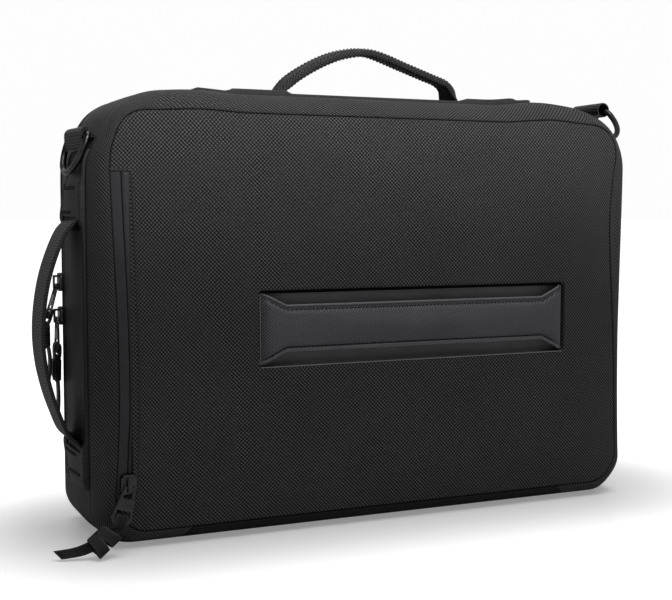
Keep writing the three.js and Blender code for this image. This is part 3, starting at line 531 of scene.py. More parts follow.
def finishGroup(name, pattern):
    tree, inside, outside = newGroup(name, [
        ("Place", "NodeSocketVector", None), ("Pitch", "NodeSocketFloat", 1.4),
        ("Dark", "NodeSocketColor", None), ("Light", "NodeSocketColor", None),
        ("Worn", "NodeSocketColor", None), ("Rim", "NodeSocketFloat", 0.0),
        ("Rough", "NodeSocketFloat", 0.7), ("Mottle", "NodeSocketFloat", 0.3)])
    place = inside.outputs["Place"]
    apart = tree.nodes.new("ShaderNodeSeparateXYZ")
    feed(tree, apart.inputs[0], place)
    u = calc(tree, "DIVIDE", apart.outputs[0], inside.outputs["Pitch"])
    v = calc(tree, "DIVIDE", apart.outputs[1], inside.outputs["Pitch"])
    shade = pattern(tree, u, v)
    fine = noise(tree, place, 0.9, 2.0)
    broad = noise(tree, place, 0.018, 4.0)
    threads = calc(tree, "MULTIPLY", shade, calc(tree, "MULTIPLY_ADD", fine, 0.8, 0.6))
    colour = mixColour(tree, threads, inside.outputs["Dark"], inside.outputs["Light"])
    patches = calc(tree, "MULTIPLY", calc(tree, "SUBTRACT", broad, 0.5), inside.outputs["Mottle"])
    tone = calc(tree, "ADD", calc(tree, "MULTIPLY", patches, 2.0), 1.0)
    grey = tree.nodes.new("ShaderNodeCombineColor")
    for socket in grey.inputs:
        feed(tree, socket, tone)
    colour = mixColour(tree, 1.0, colour, grey.outputs[0], "MULTIPLY")
    wornPart = calc(tree, "MULTIPLY", inside.outputs["Rim"], calc(tree, "MULTIPLY_ADD", fine, 1.2, 0.2))
    wornPart = calc(tree, "MINIMUM", calc(tree, "MULTIPLY", wornPart, 0.7), 1.0)
    colour = mixColour(tree, wornPart, colour, inside.outputs["Worn"])
    rough = unevenly(tree, inside.outputs["Rough"], broad, 0.2)
    rough = calc(tree, "SUBTRACT", rough, calc(tree, "MULTIPLY", shade, 0.1))
    height = calc(tree, "ADD", shade, calc(tree, "MULTIPLY", fine, 0.25))
    feed(tree, outside.inputs["Color"], colour)
    feed(tree, outside.inputs["Roughness"], rough)
    feed(tree, outside.inputs["Height"], height)
    return tree


def metalGroup():
    tree, inside, outside = newGroup("dark plated metal", [
        ("Place", "NodeSocketVector", None), ("Dark", "NodeSocketColor", None),
        ("Light", "NodeSocketColor", None), ("Rough", "NodeSocketFloat", 0.3)])
    place = inside.outputs["Place"]
    fine = noise(tree, place, 1.4, 4.0)
    broad = noise(tree, place, 0.15, 2.0)
    marks = calc(tree, "GREATER_THAN", fine, 0.62)
    colour = mixColour(tree, broad, inside.outputs["Dark"], inside.outputs["Light"])
    colour = mixColour(tree, calc(tree, "MULTIPLY", marks, 0.35), colour, inside.outputs["Light"])
    rough = unevenly(tree, inside.outputs["Rough"], fine, 0.3)
    feed(tree, outside.inputs["Color"], colour)
    feed(tree, outside.inputs["Roughness"], rough)
    feed(tree, outside.inputs["Height"], fine)
    return tree


groups = {
    "basket": finishGroup("basket weave cloth", basketPattern),
    "twill": finishGroup("fine twill cloth", twillPattern),
    "rib": finishGroup("ribbed webbing", ribPattern),
    "grain": finishGroup("grained coating", grainPattern),
    "metal": metalGroup(),
}


# A material from a finish group; even values go straight onto the shader
def clothMaterial(name, look):
    made = bpy.data.materials.new(name)
    made.use_nodes = True
    tree = made.node_tree
    shader = tree.nodes["Principled BSDF"]
    kind = look["kind"]
    group = tree.nodes.new("ShaderNodeGroup")
    group.node_tree = groups[kind]
    if kind == "metal":
        spot = tree.nodes.new("ShaderNodeTexCoord")
        scaled = tree.nodes.new("ShaderNodeVectorMath")
        scaled.operation = "SCALE"
        scaled.inputs["Scale"].default_value = 1000
        tree.links.new(spot.outputs["Object"], scaled.inputs[0])
        tree.links.new(scaled.outputs[0], group.inputs["Place"])
        shader.inputs["Metallic"].default_value = 1.0
    else:
        spot = tree.nodes.new("ShaderNodeUVMap")
        spot.uv_map = "cloth"
        tree.links.new(spot.outputs[0], group.inputs["Place"])
        rim = tree.nodes.new("ShaderNodeAttribute")
        rim.attribute_name = "rim"
        tree.links.new(rim.outputs["Fac"], group.inputs["Rim"])
        group.inputs["Pitch"].default_value = look["pitch"]
        group.inputs["Worn"].default_value = (*look["worn"], 1)
        group.inputs["Mottle"].default_value = look.get("mottle", 0.3)
    group.inputs["Dark"].default_value = (*look["dark"], 1)
    group.inputs["Light"].default_value = (*look["light"], 1)
    group.inputs["Rough"].default_value = look["rough"]
    tree.links.new(group.outputs["Color"], shader.inputs["Base Color"])
    tree.links.new(group.outputs["Roughness"], shader.inputs["Roughness"])
    bump = tree.nodes.new("ShaderNodeBump")
    bump.inputs["Distance"].default_value = look["depth"] * mm
    bump.inputs["Strength"].default_value = 1.0
    tree.links.new(group.outputs["Height"], bump.inputs["Height"])
    tree.links.new(bump.outputs[0], shader.inputs["Normal"])
    shader.inputs["Sheen Weight"].default_value = look.get("sheen", 0.0)
    shader.inputs["Sheen Roughness"].default_value = look.get("sheenRough", 0.4)
    shader.inputs["Specular IOR Level"].default_value = look.get("gloss", 0.4)
    shader.inputs["Coat Weight"].default_value = look.get("coat", 0.0)
    shader.inputs["Coat Roughness"].default_value = 0.35
    return made


wovenLook = {
    "kind": "basket", "pitch": 1.38, "depth": 0.3, "rough": 0.62, "sheen": 0.02, "gloss": 0.07,
    "dark": (0.0008, 0.0007, 0.0008), "light": (0.19, 0.184, 0.191), "worn": (0.05, 0.047, 0.05),
    "mottle": 0.2,
}
smoothLook = {
    "kind": "twill", "pitch": 0.9, "depth": 0.12, "rough": 0.55, "sheen": 0.03, "gloss": 0.15,
    "dark": (0.005, 0.0048, 0.0052), "light": (0.026, 0.025, 0.027), "worn": (0.035, 0.033, 0.035),
}
liningLook = {
    "kind": "twill", "pitch": 1.7, "depth": 0.12, "rough": 0.6, "sheen": 0.1, "gloss": 0.15,
    "dark": (0.045, 0.044, 0.046), "light": (0.32, 0.313, 0.33), "worn": (0.06, 0.058, 0.06),
}
strapLook = {
    "kind": "twill", "pitch": 2.1, "depth": 0.2, "rough": 0.48, "sheen": 0.12, "gloss": 0.2,
    "dark": (0.028, 0.027, 0.03), "light": (0.195, 0.189, 0.205), "worn": (0.1, 0.095, 0.105),
    "mottle": 0.35,
}
bindingLook = {
    "kind": "grain", "pitch": 0.6, "depth": 0.06, "rough": 0.42, "sheen": 0.1, "gloss": 0.3,
    "dark": (0.06, 0.057, 0.063), "light": (0.18, 0.172, 0.188), "worn": (0.34, 0.33, 0.35),
}
leatherLook = {
    "kind": "grain", "pitch": 0.9, "depth": 0.14, "rough": 0.5, "gloss": 0.12,
    "dark": (0.008, 0.0075, 0.008), "light": (0.04, 0.038, 0.039), "worn": (0.1, 0.095, 0.096),
}
webbingLook = {
    "kind": "rib", "pitch": 2.0, "depth": 0.4, "rough": 0.6, "sheen": 0.05, "gloss": 0.15,
    "dark": (0.0008, 0.0008, 0.0009), "light": (0.085, 0.083, 0.088), "worn": (0.045, 0.043, 0.046),
}
tapeLook = {
    "kind": "grain", "pitch": 0.5, "depth": 0.04, "rough": 0.4, "gloss": 0.22, "coat": 0.03,
    "dark": (0.027, 0.026, 0.028), "light": (0.072, 0.069, 0.076), "worn": (0.08, 0.076, 0.083),
}
threadLook = {
    "kind": "twill", "pitch": 0.8, "depth": 0.05, "rough": 0.5, "gloss": 0.15,
    "dark": (0.003, 0.003, 0.0032), "light": (0.014, 0.0135, 0.0145), "worn": (0.02, 0.02, 0.02),
}
# Near-black cloth for the painted shadow under the window's upper edge
foldLook = {
    "kind": "twill", "pitch": 1.7, "depth": 0.1, "rough": 0.8, "gloss": 0.05,
    "dark": (0.0008, 0.0008, 0.0008), "light": (0.004, 0.004, 0.004), "worn": (0.006, 0.006, 0.006),
}
metalLook = {
    "kind": "metal", "depth": 0.02, "rough": 0.3, "gloss": 0.5,
    "dark": (0.03, 0.03, 0.032), "light": (0.13, 0.13, 0.136),
}
materials = {
    "weave": clothMaterial("basketWeave", wovenLook),
    "base_cloth": clothMaterial("smoothBaseCloth", smoothLook),
    "lining": clothMaterial("smoothLining", liningLook),
    "strap_cloth": clothMaterial("strapTwill", strapLook),
    "binding": clothMaterial("strapBinding", bindingLook),
    "leather": clothMaterial("grainedPatch", leatherLook),
    "webbing": clothMaterial("ribbedWebbing", webbingLook),
    "zip_tape": clothMaterial("coatedTape", tapeLook),
    # Painted shadow under the window's upper edge
    "fold": clothMaterial("paintedShadowStrip", foldLook),
    "thread": clothMaterial("sewingThread", threadLook),
    "metal": clothMaterial("gunMetal", metalLook),
}


# Gives a piece its finish, its body, and the solid that it stands for
def dress(piece, finish, replaced=(), body="bag"):
    piece.data.materials.clear()
    piece.data.materials.append(materials[finish])
    if replaced:
        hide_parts(*([replaced] if isinstance(replaced, str) else replaced))
    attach(piece, body)
    return piece


# A trim: one section swept along a line
def trim(name, line, wide, section, finish):
    dress(sweep(name, line, lambda i: wide, lambda i: section), finish)


def sew(name, slot, line, outs, *sizes, across=False):
    dress(stitchRow(name, line, outs, *sizes, across=across), "thread")


print("materials ready:", len(materials))

# Back panel between the seam and the window, with the notch for the pocket zip
window = {
    "width": 249.0, "height": 53.0, "x": 23.5, "z": 143.5, "corner": 3.0,
    # The first pair sizes the dark strip that paints the shade under the window's upper edge
    "fold": (0.8, 2.4), "piping": 0.42,
}
pocketZip = {
    "width": 14.5, "top": 251.0, "bottom": 36.0, "tape": 1.3, "corner": 1.0, "roll": 1.2,
    "cut": 0.6, "cutDepth": (-75, -40), "topTurn": 2.4, "lowTurn": 4.0, "lipEdge": 0.2,
    "ridge": 0.3, "crownFrom": 64.0, "crownOver": 26.0,
}
windowLeft = window["x"] - window["width"] / 2
windowRight = window["x"] + window["width"] / 2
windowLow = window["z"] - window["height"] / 2
windowHigh = window["z"] + window["height"] / 2
zipLeft = -seamHalf + gap
zipRight = -seamHalf + pocketZip["width"]
zipMiddle = (zipLeft + zipRight) / 2


def makeBackPanel():
    shrink = (seamHalf - gap) / seamHalf
    frameLine = roundedLine(window["x"], window["width"] / 2, windowLow, windowHigh,
                            window["corner"], window["corner"])
    us = list(fineStations) + [9.0]
    outer = [seam(s) for s in us]
    outer = [(x * shrink, seamMiddle + (z - seamMiddle) * shrink) for x, z in outer]
    inner = [frameLine(s) for s in us]
    reach = hemSteps[-1]
    rings = [("start", d) for d in hemSteps] + [("share", s) for s in np.linspace(0, 1, 22)[1:-1]]
    rings += [("end", d) for d in hemSteps[::-1]]

    def place(i, j, side):
        (ax, az), (bx, bz) = outer[i], inner[i]
        kind, amount = rings[j]
        long = math.hypot(bx - ax, bz - az)
        t = {"start": amount / long, "end": 1 - amount / long,
             "share": (reach + (long - 2 * reach) * amount) / long}[kind]
        x, z = ax + (bx - ax) * t, az + (bz - az) * t
        d = min(t, 1 - t) * long
        y = backFace(x, z) + (bag["cloth"] if side else hem(d, 1.5))
        return (x, y, z), (x, z), float(smooth((2.2 - d) / 2.2)) * 0.6

    piece = clothWall("back_panel_cloth", list(range(len(us))), list(range(len(rings))), place,
                      closed=True)
    cutNotch(piece)
    dress(piece, "weave", "back_panel")
    makeZipLip()


# The notch for the pocket zip is cut out of the panel
def cutNotch(piece):
    cut = pocketZip["cut"]
    notch = bpy.data.objects.new("notch", bpy.data.meshes.new("notch"))
    xs = (-bag["half"] - 9, zipRight - cut)
    zs = (pocketZip["bottom"] + cut, pocketZip["top"] - cut)
    corners = [(x * mm, y * mm, z * mm) for x in xs for y in pocketZip["cutDepth"] for z in zs]
    sides = [(0, 1, 3, 2), (4, 6, 7, 5), (0, 4, 5, 1), (2, 3, 7, 6), (0, 2, 6, 4), (1, 5, 7, 3)]
    notch.data.from_pydata(corners, [], sides)
    bpy.context.scene.collection.objects.link(notch)
    carve = piece.modifiers.new("Notch", "BOOLEAN")
    carve.object = notch
    carve.operation = "DIFFERENCE"
    carve.solver = "EXACT"
    applied(piece)
    bpy.data.objects.remove(notch)


# A rolled edge goes round the notch
def makeZipLip():
    r, edge = pocketZip["roll"], pocketZip["lipEdge"]
    topTurn, lowTurn = pocketZip["topTurn"], pocketZip["lowTurn"]
    xEnd, zTop, zLow = zipRight - edge, pocketZip["top"] - edge, pocketZip["bottom"] + edge
    path = [(zipLeft - gap, zTop), (zipMiddle, zTop)]
    path += [(xEnd - topTurn + topTurn * math.sin(a), zTop - topTurn + topTurn * math.cos(a))
             for a in np.linspace(0, math.pi / 2, 7)]
    path += [(xEnd, z) for z in np.linspace(zTop - topTurn, zLow + lowTurn, 50)[1:-1]]
    path += [(xEnd - lowTurn + lowTurn * math.cos(a), zLow + lowTurn - lowTurn * math.sin(a))
             for a in np.linspace(0, math.pi / 2, 9)]
    path += [(zipMiddle, zLow), (zipLeft - gap, zLow)]
    line = soften([(x, backFace(x, z) + r * 0.55, z) for x, z in path])
    trim("pocket_zip_lip", line, (0, 1, 0), roundSection(r, 12), "weave")


makeBackPanel()


# Front panel: the plain side, in rings round its middle
def makeFrontPanel():
    shrink = (seamHalf - gap) / seamHalf
    line = [seam(s) for s in fineStations] + [seam(0)]
    rings = [1, 0.9985, 0.996, 0.992, 0.985, 0.97, 0.95, 0.92, 0.88, 0.8, 0.7, 0.58, 0.45, 0.3,
             0.15, 0.05, 0.0006]

    def place(i, ring, side):
        x = line[i][0] * shrink * ring
        z = seamMiddle + (line[i][1] - seamMiddle) * shrink * ring
        d = (1 - ring) * seamRise
        y = frontFace(x, z) - (bag["cloth"] if side else hem(d, 1.5))
        return (x, y, z), (x, z), float(smooth((2.2 - d) / 2.2)) * 0.5

    piece = clothWall("front_panel_cloth", list(range(len(line))), rings,
                      lambda u, v, side: place(int(round(u)), v, side), closed=True)
    dress(piece, "weave", "front_panel")


makeFrontPanel()


# Soft rolls between the seams and the side walls
def makeRoll(name, finish, replaced, seamY, depth, start, end):
    away = math.copysign(1, seamY)
    whole = start is None
    us = list(fineStations) + [9.0] if whole else stationsBetween(start, end)
    runLow, runHigh = runAt(us[0]), runAt(us[-1])
    girth = depth * math.pi / 2
    vs = hemmed(0, girth, np.linspace(0, girth, 13)[1:-1])

    def place(u, v, side):
        angle = v / depth
        run = runAt(u)
        d = min(v, girth - v) if whole else min(v, girth - v, run - runLow, runHigh - run)
        thin = bag["cloth"] if side else hem(d, 1.2)
        inset = insetAt(u)
        inward = thin + (inset - thin) * (1 - math.sin(angle))
        y = seamY - away * depth + away * (depth - thin) * math.cos(angle)
        return wallPoint(u, inward, y), (run, v), float(smooth((2 - d) / 2)) * 0.6

    piece = clothWall(name, us, list(vs), place, closed=whole)
    return dress(piece, finish, replaced)


stripRight = bag["stripHalf"] / (bag["half"] - bag["bottomCorner"])
stripLeft = 9 - stripRight
stationGap = gap / bag["half"]
makeRoll("back_roll_cloth", "weave", "back_roll", bag["backY"], bag["backRoll"],
         stripRight + stationGap, stripLeft - stationGap)
makeRoll("base_strip_cloth", "base_cloth", "base_strip", bag["backY"], bag["backRoll"],
         stripLeft - 9, stripRight)
makeRoll("front_roll_cloth", "weave", "front_roll", bag["frontY"], bag["frontRoll"], None, None)


# Bands of wall between two depths
def makeBand(name, finish, replaced, start, end, low, high, inward, thick, step, ridge=None):
    us = stationsBetween(start, end)
    runLow, runHigh = runAt(us[0]), runAt(us[-1])

    def place(u, v, side):
        run = runAt(u)
        d = min(v - low, high - v, run - runLow, runHigh - run)
        lift = ridge(v) if ridge and not side else 0
        off = inward + (thick if side else hem(d, min(1.2, thick * 0.8)) - lift)
        return wallPoint(u, off, v), (run, v), float(smooth((1.8 - d) / 1.8)) * 0.5

    piece = clothWall(name, us, list(evenSteps(low, high, step)), place)
    return dress(piece, finish, replaced)


zipHalf = (bag["gussetFront"] + bag["zipFront"]) / 2
mainZip = {"recess": 1.0, "tape": 1.3, "coil": 0.5, "coilReach": 2.4}


# The tape swells over the hidden coil beside the middle line
def coilRidge(y):
    return mainZip["coil"] * float(smooth(1 - abs(abs(y - zipHalf) - 1.5) / mainZip["coilReach"]))


makeBand("gusset_cloth", "weave", "gusset", bootRight, bootLeft,
         bag["gussetBack"] + gap, bag["gussetFront"] - gap, 0, bag["cloth"], 5)
makeBand("base_cloth_piece", "base_cloth", "base", bootLeft - 9 + gap / 177, bootRight - gap / 177,
         bag["gussetBack"] + gap, bag["zipFront"] - gap, 0, bag["cloth"], 6)
makeBand("main_tape_back_cloth", "zip_tape", "main_tape_back", bootRight, bootLeft,
         bag["gussetFront"], zipHalf - gap / 2, mainZip["recess"], mainZip["tape"], 1, coilRidge)
makeBand("main_tape_front_cloth", "zip_tape", "main_tape_front", bootRight, bootLeft,
         zipHalf + gap / 2, bag["zipFront"] - gap, mainZip["recess"], mainZip["tape"], 1, coilRidge)
# Inner binding behind the joins, so no light comes through the bag
backing = {"inward": 2.8, "thick": 0.8}
for name, start, end, low, high, step in (
        ("main_zip_backing", bootRight, bootLeft, 25.5, 47.5, 4),
        ("roll_backing", bootRight, bootLeft, -32.0, -24.0, 3),
        ("base_backing_front", bootLeft - 9, bootRight, 40.5, 47.5, 3),
        ("base_backing_back", bootLeft - 9, bootRight, -32.0, -24.0, 3)):
    makeBand(name, "base_cloth", None, start, end, low, high, backing["inward"], backing["thick"], step)
print("shell made")


# Tapes of the pocket zip, folded over their coil on the middle line
def makePocketTapes():
    y = bag["backY"] + 2 * gap
    low, high = pocketZip["bottom"] + pocketZip["corner"], pocketZip["top"] - pocketZip["corner"]
    sides = {
        "pocket_tape_left": (zipLeft, zipMiddle - gap / 2),
        "pocket_tape_right": (zipMiddle + gap / 2, zipRight - gap),
    }
    for name, (x0, x1) in sides.items():
        def place(z, x, side):
            d = min(x - x0, x1 - x, z - low, high - z)
            ridge = pocketZip["ridge"] * float(smooth(1 - abs(abs(x - zipMiddle) - 1.9) / 3.2))
            off = pocketZip["tape"] if side else hem(d, 0.9) - ridge
            crown = float(smooth((z - pocketZip["crownFrom"]) / pocketZip["crownOver"]))
            off -= (bag["backY"] - backFace(x, z)) * crown
            return (x, y + off, z), (z, x), float(smooth((1.2 - d) / 1.2)) * 0.7

        piece = clothWall(name + "_cloth", list(evenSteps(low, high, 3)),
                          list(evenSteps(x0, x1, 0.6)), place)
        dress(piece, "zip_tape", name)


makePocketTapes()

# The zip's lower end is tucked under a small folded pocket
zipEnds = {
    "pocketX": -190.4, "pocketZ": 45.5, "wide": 2.4, "high": 11.5, "deep": 2.4,
    "lean": 0.8, "proud": 0.4, "rim": 0.3,
}


def makeZipEnds():
    points, faces, flats = [], [], []
    turns, rows = 20, 12
    for i in range(rows + 1):
        t = -1 + 2 * i / rows
        r = (1 - abs(t) ** 2.6) ** 0.45 if abs(t) < 1 else 0.02
        for j in range(turns):
            a = 2 * math.pi * j / turns
            x = zipEnds["pocketX"] + zipEnds["wide"] * r * math.cos(a) + zipEnds["lean"] * t
            y = bag["backY"] - zipEnds["proud"] - zipEnds["deep"] * r * max(-0.3, math.sin(a))
            z = zipEnds["pocketZ"] + zipEnds["high"] * t
            points.append((x, y, z))
            flats.append((x, z))
    for i in range(rows):
        for j in range(turns):
            k = (j + 1) % turns
            faces.append((i * turns + j, (i + 1) * turns + j, (i + 1) * turns + k, i * turns + k))
    faces.append(tuple(range(turns)))
    faces.append(tuple(rows * turns + j for j in reversed(range(turns))))
    rims = [zipEnds["rim"]] * len(points)
    dress(makePiece("pocket_zip_garage", soften(points), faces, flats, rims), "zip_tape")


makeZipEnds()

# Lining above and below the strap, sunk behind the window
lining = {"deep": 7.5, "thick": 1.4, "margin": 9.0, "webbing": 2.6, "sag": 0.5, "sagRun": 23}


def makeLining():
    us = np.linspace(windowLeft - lining["margin"], windowRight + lining["margin"], 90)
    vs = np.linspace(windowLow - lining["margin"], windowHigh + lining["margin"], 40)

    def place(x, z, side):
        endways = min(x - us[0], us[-1] - x) / lining["margin"]
        upright = min(z - vs[0], vs[-1] - z) / lining["margin"]
        sunk = float(smooth(endways - 0.4) * smooth(upright - 0.4))
        atEnds = 1 - float(smooth(endways - 0.7))
        back = bag["cloth"] + gap + atEnds * (3 * gap + lining["webbing"])
        sag = lining["sag"] * math.sin(x / lining["sagRun"]) * sunk
        y = backFace(x, z) + back + max(0, lining["deep"] - back) * sunk + sag
        y += side * lining["thick"]
        return (x, y, z), (x, z), 0.0

    dress(clothWall("pass_lining_cloth", list(us), list(vs), place), "lining", "pass_lining")


makeLining()


# A dark strip under the window's upper edge, a painted shadow, and thin piping along its lower edge
def makeWindowEdges():
    xs = np.linspace(windowLeft + 1, windowRight - 1, 90)
    # The dark strip is painted shadow: only shade falls there, under the panel's edge
    high = [(x, backFace(x, windowHigh) + bag["cloth"] + 0.5, windowHigh - 1.0) for x in xs]
    trim("window_fold", high, (0, 0, 1), stripSection(*window["fold"], 2), "fold")
    low = [(x, backFace(x, windowLow) + 0.4, windowLow + 0.2) for x in xs]
    trim("window_piping_lower", low, (0, 1, 0), roundSection(window["piping"], 8), "binding")


makeWindowEdges()

# Padded strap across the window, puffed between its bound edges by a short cloth run
strap = {
    "low": 33.0, "flare": 20.0, "thick": 4.2, "tuck": 7.0, "webbing": 2.6, "binding": 2.8,
    "band": 1.5, "bandThick": 1.9, "bead": 0.75, "endBead": 0.7, "endAt": 1.6,
    "wrinkle": 0.32, "wrinkleRun": 7.5, "wrinkleLean": 1.1, "pressure": 3.5, "frames": 20, "cap": 2.4,
}


def strapHeightAt(x):
    fromEnd = min(x - windowLeft, windowRight - x)
    narrow = min(1, max(0, fromEnd / strap["flare"]))
    return window["height"] - 2 * gap - (window["height"] - strap["low"]) * narrow


def strapBackAt(x, z):
    fromEnd = min(x - windowLeft, windowRight - x)
    rise = float(smooth((fromEnd - 2 * gap) / 6))
    return backFace(x, z) + (bag["cloth"] + 2 * gap) * (1 - rise) + strap["webbing"], rise


def makeStrap():
    us = list(np.linspace(windowLeft - strap["tuck"], windowRight + strap["tuck"], 120))
    vs = list(np.sin(np.linspace(-math.pi / 2, math.pi / 2, 31)))

    def place(x, v, side):
        z = window["z"] + v * strapHeightAt(x) / 2
        back, rise = strapBackAt(x, z)
        fromEdge = (1 - abs(v)) * strapHeightAt(x) / 2
        filled = float(smooth((fromEdge - strap["binding"]) / 3))
        thick = strap["band"] + rise * (strap["thick"] - strap["band"]) * filled
        # Soft slanting wrinkles in the filled part
        leaning = (x + strap["wrinkleLean"] * (z - window["z"])) / strap["wrinkleRun"]
        slant = math.sin(leaning + 2 * math.sin(x / 41))
        share = 0.5 + 0.5 * math.sin(x / 29 + 1)
        thick += strap["wrinkle"] * rise * slant * share * float(smooth((fromEdge - 4) / 7))
        return (x, back - (0 if side else thick), z), (x, z), 0.0

    # The bound edges, both ends and the back stay where they are
    def held(p):
        inside = strapHeightAt(p[0]) / 2 - strap["binding"] - 0.9
        return (abs(p[2] - window["z"]) > inside or p[0] < windowLeft + 1
                or p[0] > windowRight - 1 or p[1] > strapBackAt(p[0], p[2])[0] - 0.4)

    piece = clothWall("pass_strap_pad", us, vs, place, softly=False)
    puff(piece, held)
    dress(piece, "strap_cloth", "pass_strap")
    xs = np.linspace(windowLeft - 2, windowRight + 2, 150)
    edge = lambda x, side, inset, out: Vector((
        x, strapBackAt(x, window["z"] + side * (strapHeightAt(x) / 2 - inset))[0] - out,
        window["z"] + side * (strapHeightAt(x) / 2 - inset)))
    # The upper edge has a thin light bead, the lower one a wider band above the lining
    bead = roundSection(strap["bead"], 10)
    line = [edge(x, 1, 0.4, strap["band"] + 0.1) for x in xs]
    trim("pass_strap_bead", line, (0, 1, 0), bead, "binding")
    line = [edge(x, -1, strap["binding"] / 2, strap["band"] + 0.5) for x in xs]
    band = stripSection(strap["bandThick"], strap["binding"] - 0.3, 3)
    trim("pass_strap_band", line, (0, 0, 1), band, "binding")
    for side, label in ((1, "upper"), (-1, "lower")):
        line = [edge(x, side, strap["binding"] + 0.6, strap["band"] + 0.5) for x in xs[6:-6]]
        sew(f"pass_strap_stitches_{label}", "strap_cloth", line, lambda k: (0, -1, 0),
            3.2, 2.1, 0.7, 0.45)
    endBead = [(a * strap["endBead"], b * strap["endBead"]) for a, b in bead]
    for x, label in ((windowLeft + strap["endAt"], "left"), (windowRight - strap["endAt"], "right")):
        reach = strapHeightAt(x) / 2 - 1
        line = [(x, strapBackAt(x, window["z"] + z)[0] - strap["band"] - 0.6, window["z"] + z)
                for z in np.linspace(-reach, reach, 24)]
        trim(f"pass_strap_end_{label}", line, (0, 1, 0), endBead, "binding")


# A short cloth run: held points keep still, and nothing moves further than the cap
def puff(piece, held):
    mesh = piece.data
    before = np.array([v.co[:] for v in mesh.vertices])
    pinned = [i for i, p in enumerate(before) if held(p / mm)]
    group = piece.vertex_groups.new(name="held")
    group.add(pinned, 1.0, "REPLACE")
    cloth = piece.modifiers.new("Cloth", "CLOTH")
    cloth.settings.vertex_group_mass = "held"
    cloth.settings.use_pressure = True
    cloth.settings.uniform_pressure_force = strap["pressure"]
    cloth.settings.effector_weights.gravity = 0
    cloth.settings.quality = 6
    scene = bpy.context.scene
    for step in range(1, strap["frames"] + 1):
        scene.frame_set(step)
    shown = piece.evaluated_get(bpy.context.evaluated_depsgraph_get())
    after = np.array([v.co[:] for v in shown.data.vertices])
    piece.modifiers.clear()
    scene.frame_set(1)
    move = after - before
    far = np.linalg.norm(move, axis=1, keepdims=True)
    cap = strap["cap"] * mm
    move = move * np.where(far > cap, cap / np.maximum(far, 1e-9), 1)
    print("strap puffed, most", round(float(far.max()) * 1000, 2), "mm")
    mesh.vertices.foreach_set("co", (before + move).ravel())
    mesh.update()


makeStrap()
print("window and strap made")

# Patches with a stitched rim, raised over the ends of their handles beyond the slits
patch = {
    "leather": 1.8, "edge": 1.0, "tail": 1.4, "slit": 6.0, "slitBack": 2.0, "clear": 0.8,
    "bead": 0.35, "beadAt": 1.9, "stitchAt": 3.6,
}
sideHandle = {
    "wide": 38.0, "slits": (63.0, 219.0), "reach": 25.5, "tail": 18.0, "shownTail": 7.0, "thick": 2.6,
}
topHandle = {
    "wide": 21.0, "foot": 28.0, "slits": (-69.0, 80.0), "reach": 37.0, "tail": 34.0,
    "shownTail": 34.0, "thick": 5.8, "lean": 0.14, "squareWide": 0.35, "squareThick": 0.55,
    "sunk": 0.16, "stitchAt": 3.2,
}


def patchLift(along, slits, tail):
    raised = patch["tail"] + 3 * gap
    low, high = slits
    end = tail + 4
    slit = patch["slit"]
    lowPart = smooth((low + slit - along) / slit) * smooth((along - low + end) / 6 + 1)
    highPart = smooth((along - high + slit) / slit) * smooth((high + end - along) / 6 + 1)
    return gap + (raised - gap) * float(max(lowPart, highPart))


def makePatch(name, replaced, start, end, slits, tail, holeHalf, at, farEdge, tacks):
    y0 = bag["gussetBack"] + patch["edge"]
    y1 = bag["gussetFront"] - patch["edge"]
    cuts = [(slits[0] - patch["slitBack"], slits[0] + patch["slit"]),
            (slits[1] - patch["slit"], slits[1] + patch["slitBack"])]
    marks = sorted(set(np.round(np.concatenate([
        evenSteps(start, end, 3), *[[a, a + 0.4, b - 0.4, b] for a, b in cuts],
        *[np.arange(a - 5, b + 5, 1) for a, b in cuts]]), 3).tolist()))
    ys = sorted(set(np.round(np.concatenate([
        evenSteps(y0, y1, 3), [-holeHalf - 0.4, -holeHalf, holeHalf, holeHalf + 0.4]]), 3).tolist()))

    def place(along, y, side):
        d = min(y - y0, y1 - y, along - start, end - along)
        spread = y0 + (y - y0) * (farEdge(along) - y0) / (y1 - y0)
        bead = patch["bead"] * math.exp(-(((d - patch["beadAt"]) / 0.8) ** 2))
        lip = 0.0
        for a, b in cuts:
            beyond = max(a - along, along - b, abs(y) - holeHalf)
            if beyond >= -0.01:
                lip = max(lip, hem(beyond, 0.7))
        up = patchLift(along, slits, tail)
        if side:
            up = gap + (up - gap) * float(smooth(min(y - y0, y1 - y) / 5))
        if not side:
            up += patch["leather"] - hem(d, 1.2) + bead - lip
        return at(along, spread, up), (along, spread), float(smooth((1.6 - d) / 1.6)) * 0.7

    inCut = lambda u, v: abs(v) < holeHalf and any(a < u < b for a, b in cuts)
    piece = clothWall(name, marks, ys, place, hole=inCut)
    dress(piece, "leather", replaced)

    # A row of stitches on the patch, each one square to the cloth under it
    def sewOn(label, spots, up, *sizes, across=False):
        line = soften([at(a, y, patchLift(a, slits, tail) + patch["leather"] + up) for a, y in spots])
        far = soften([at(a, y, 10) for a, y in spots])
        near = soften([at(a, y, 0) for a, y in spots])
        sew(f"{name}_{label}", "leather", line, lambda k: far[k] - near[k], *sizes, across=across)

    alongs = np.arange(start + 2, end - 2, 1.5)
    sewOn("stitches_back", [(a, y0 + patch["stitchAt"]) for a in alongs], 0.05, 3.0, 2.0)
    sewOn("stitches_front", [(a, farEdge(a) - patch["stitchAt"]) for a in alongs], 0.05, 3.0, 2.0)
    for n, (along, low, high) in enumerate(tacks):
        spots = [(along, y) for y in np.arange(low, high, 0.8)]
        sewOn(f"tack_{n}", spots, 0.1, 0.8, 2.4, 0.7, 0.4, across=True)


def sideAt(z, y, up):
    corner = bag["topCorner"]
    a = max(0, z - bag["height"] + corner) / corner
    r = corner + up
    return (-bag["half"] + corner - r * math.cos(a), y,
            bag["height"] - corner + r * math.sin(a) if a > 0 else z)


def topAt(x, y, up):
    return (x, y, bag["height"] + up)


sidePatchTop = bag["height"] - bag["topCorner"] + bag["topCorner"] * math.pi / 12
# The side patch narrows towards the front beyond its slits
sideTaper = {"full": 29.0, "narrow": 12.0, "low": (60.0, 38.0), "high": (222.0, 248.0)}


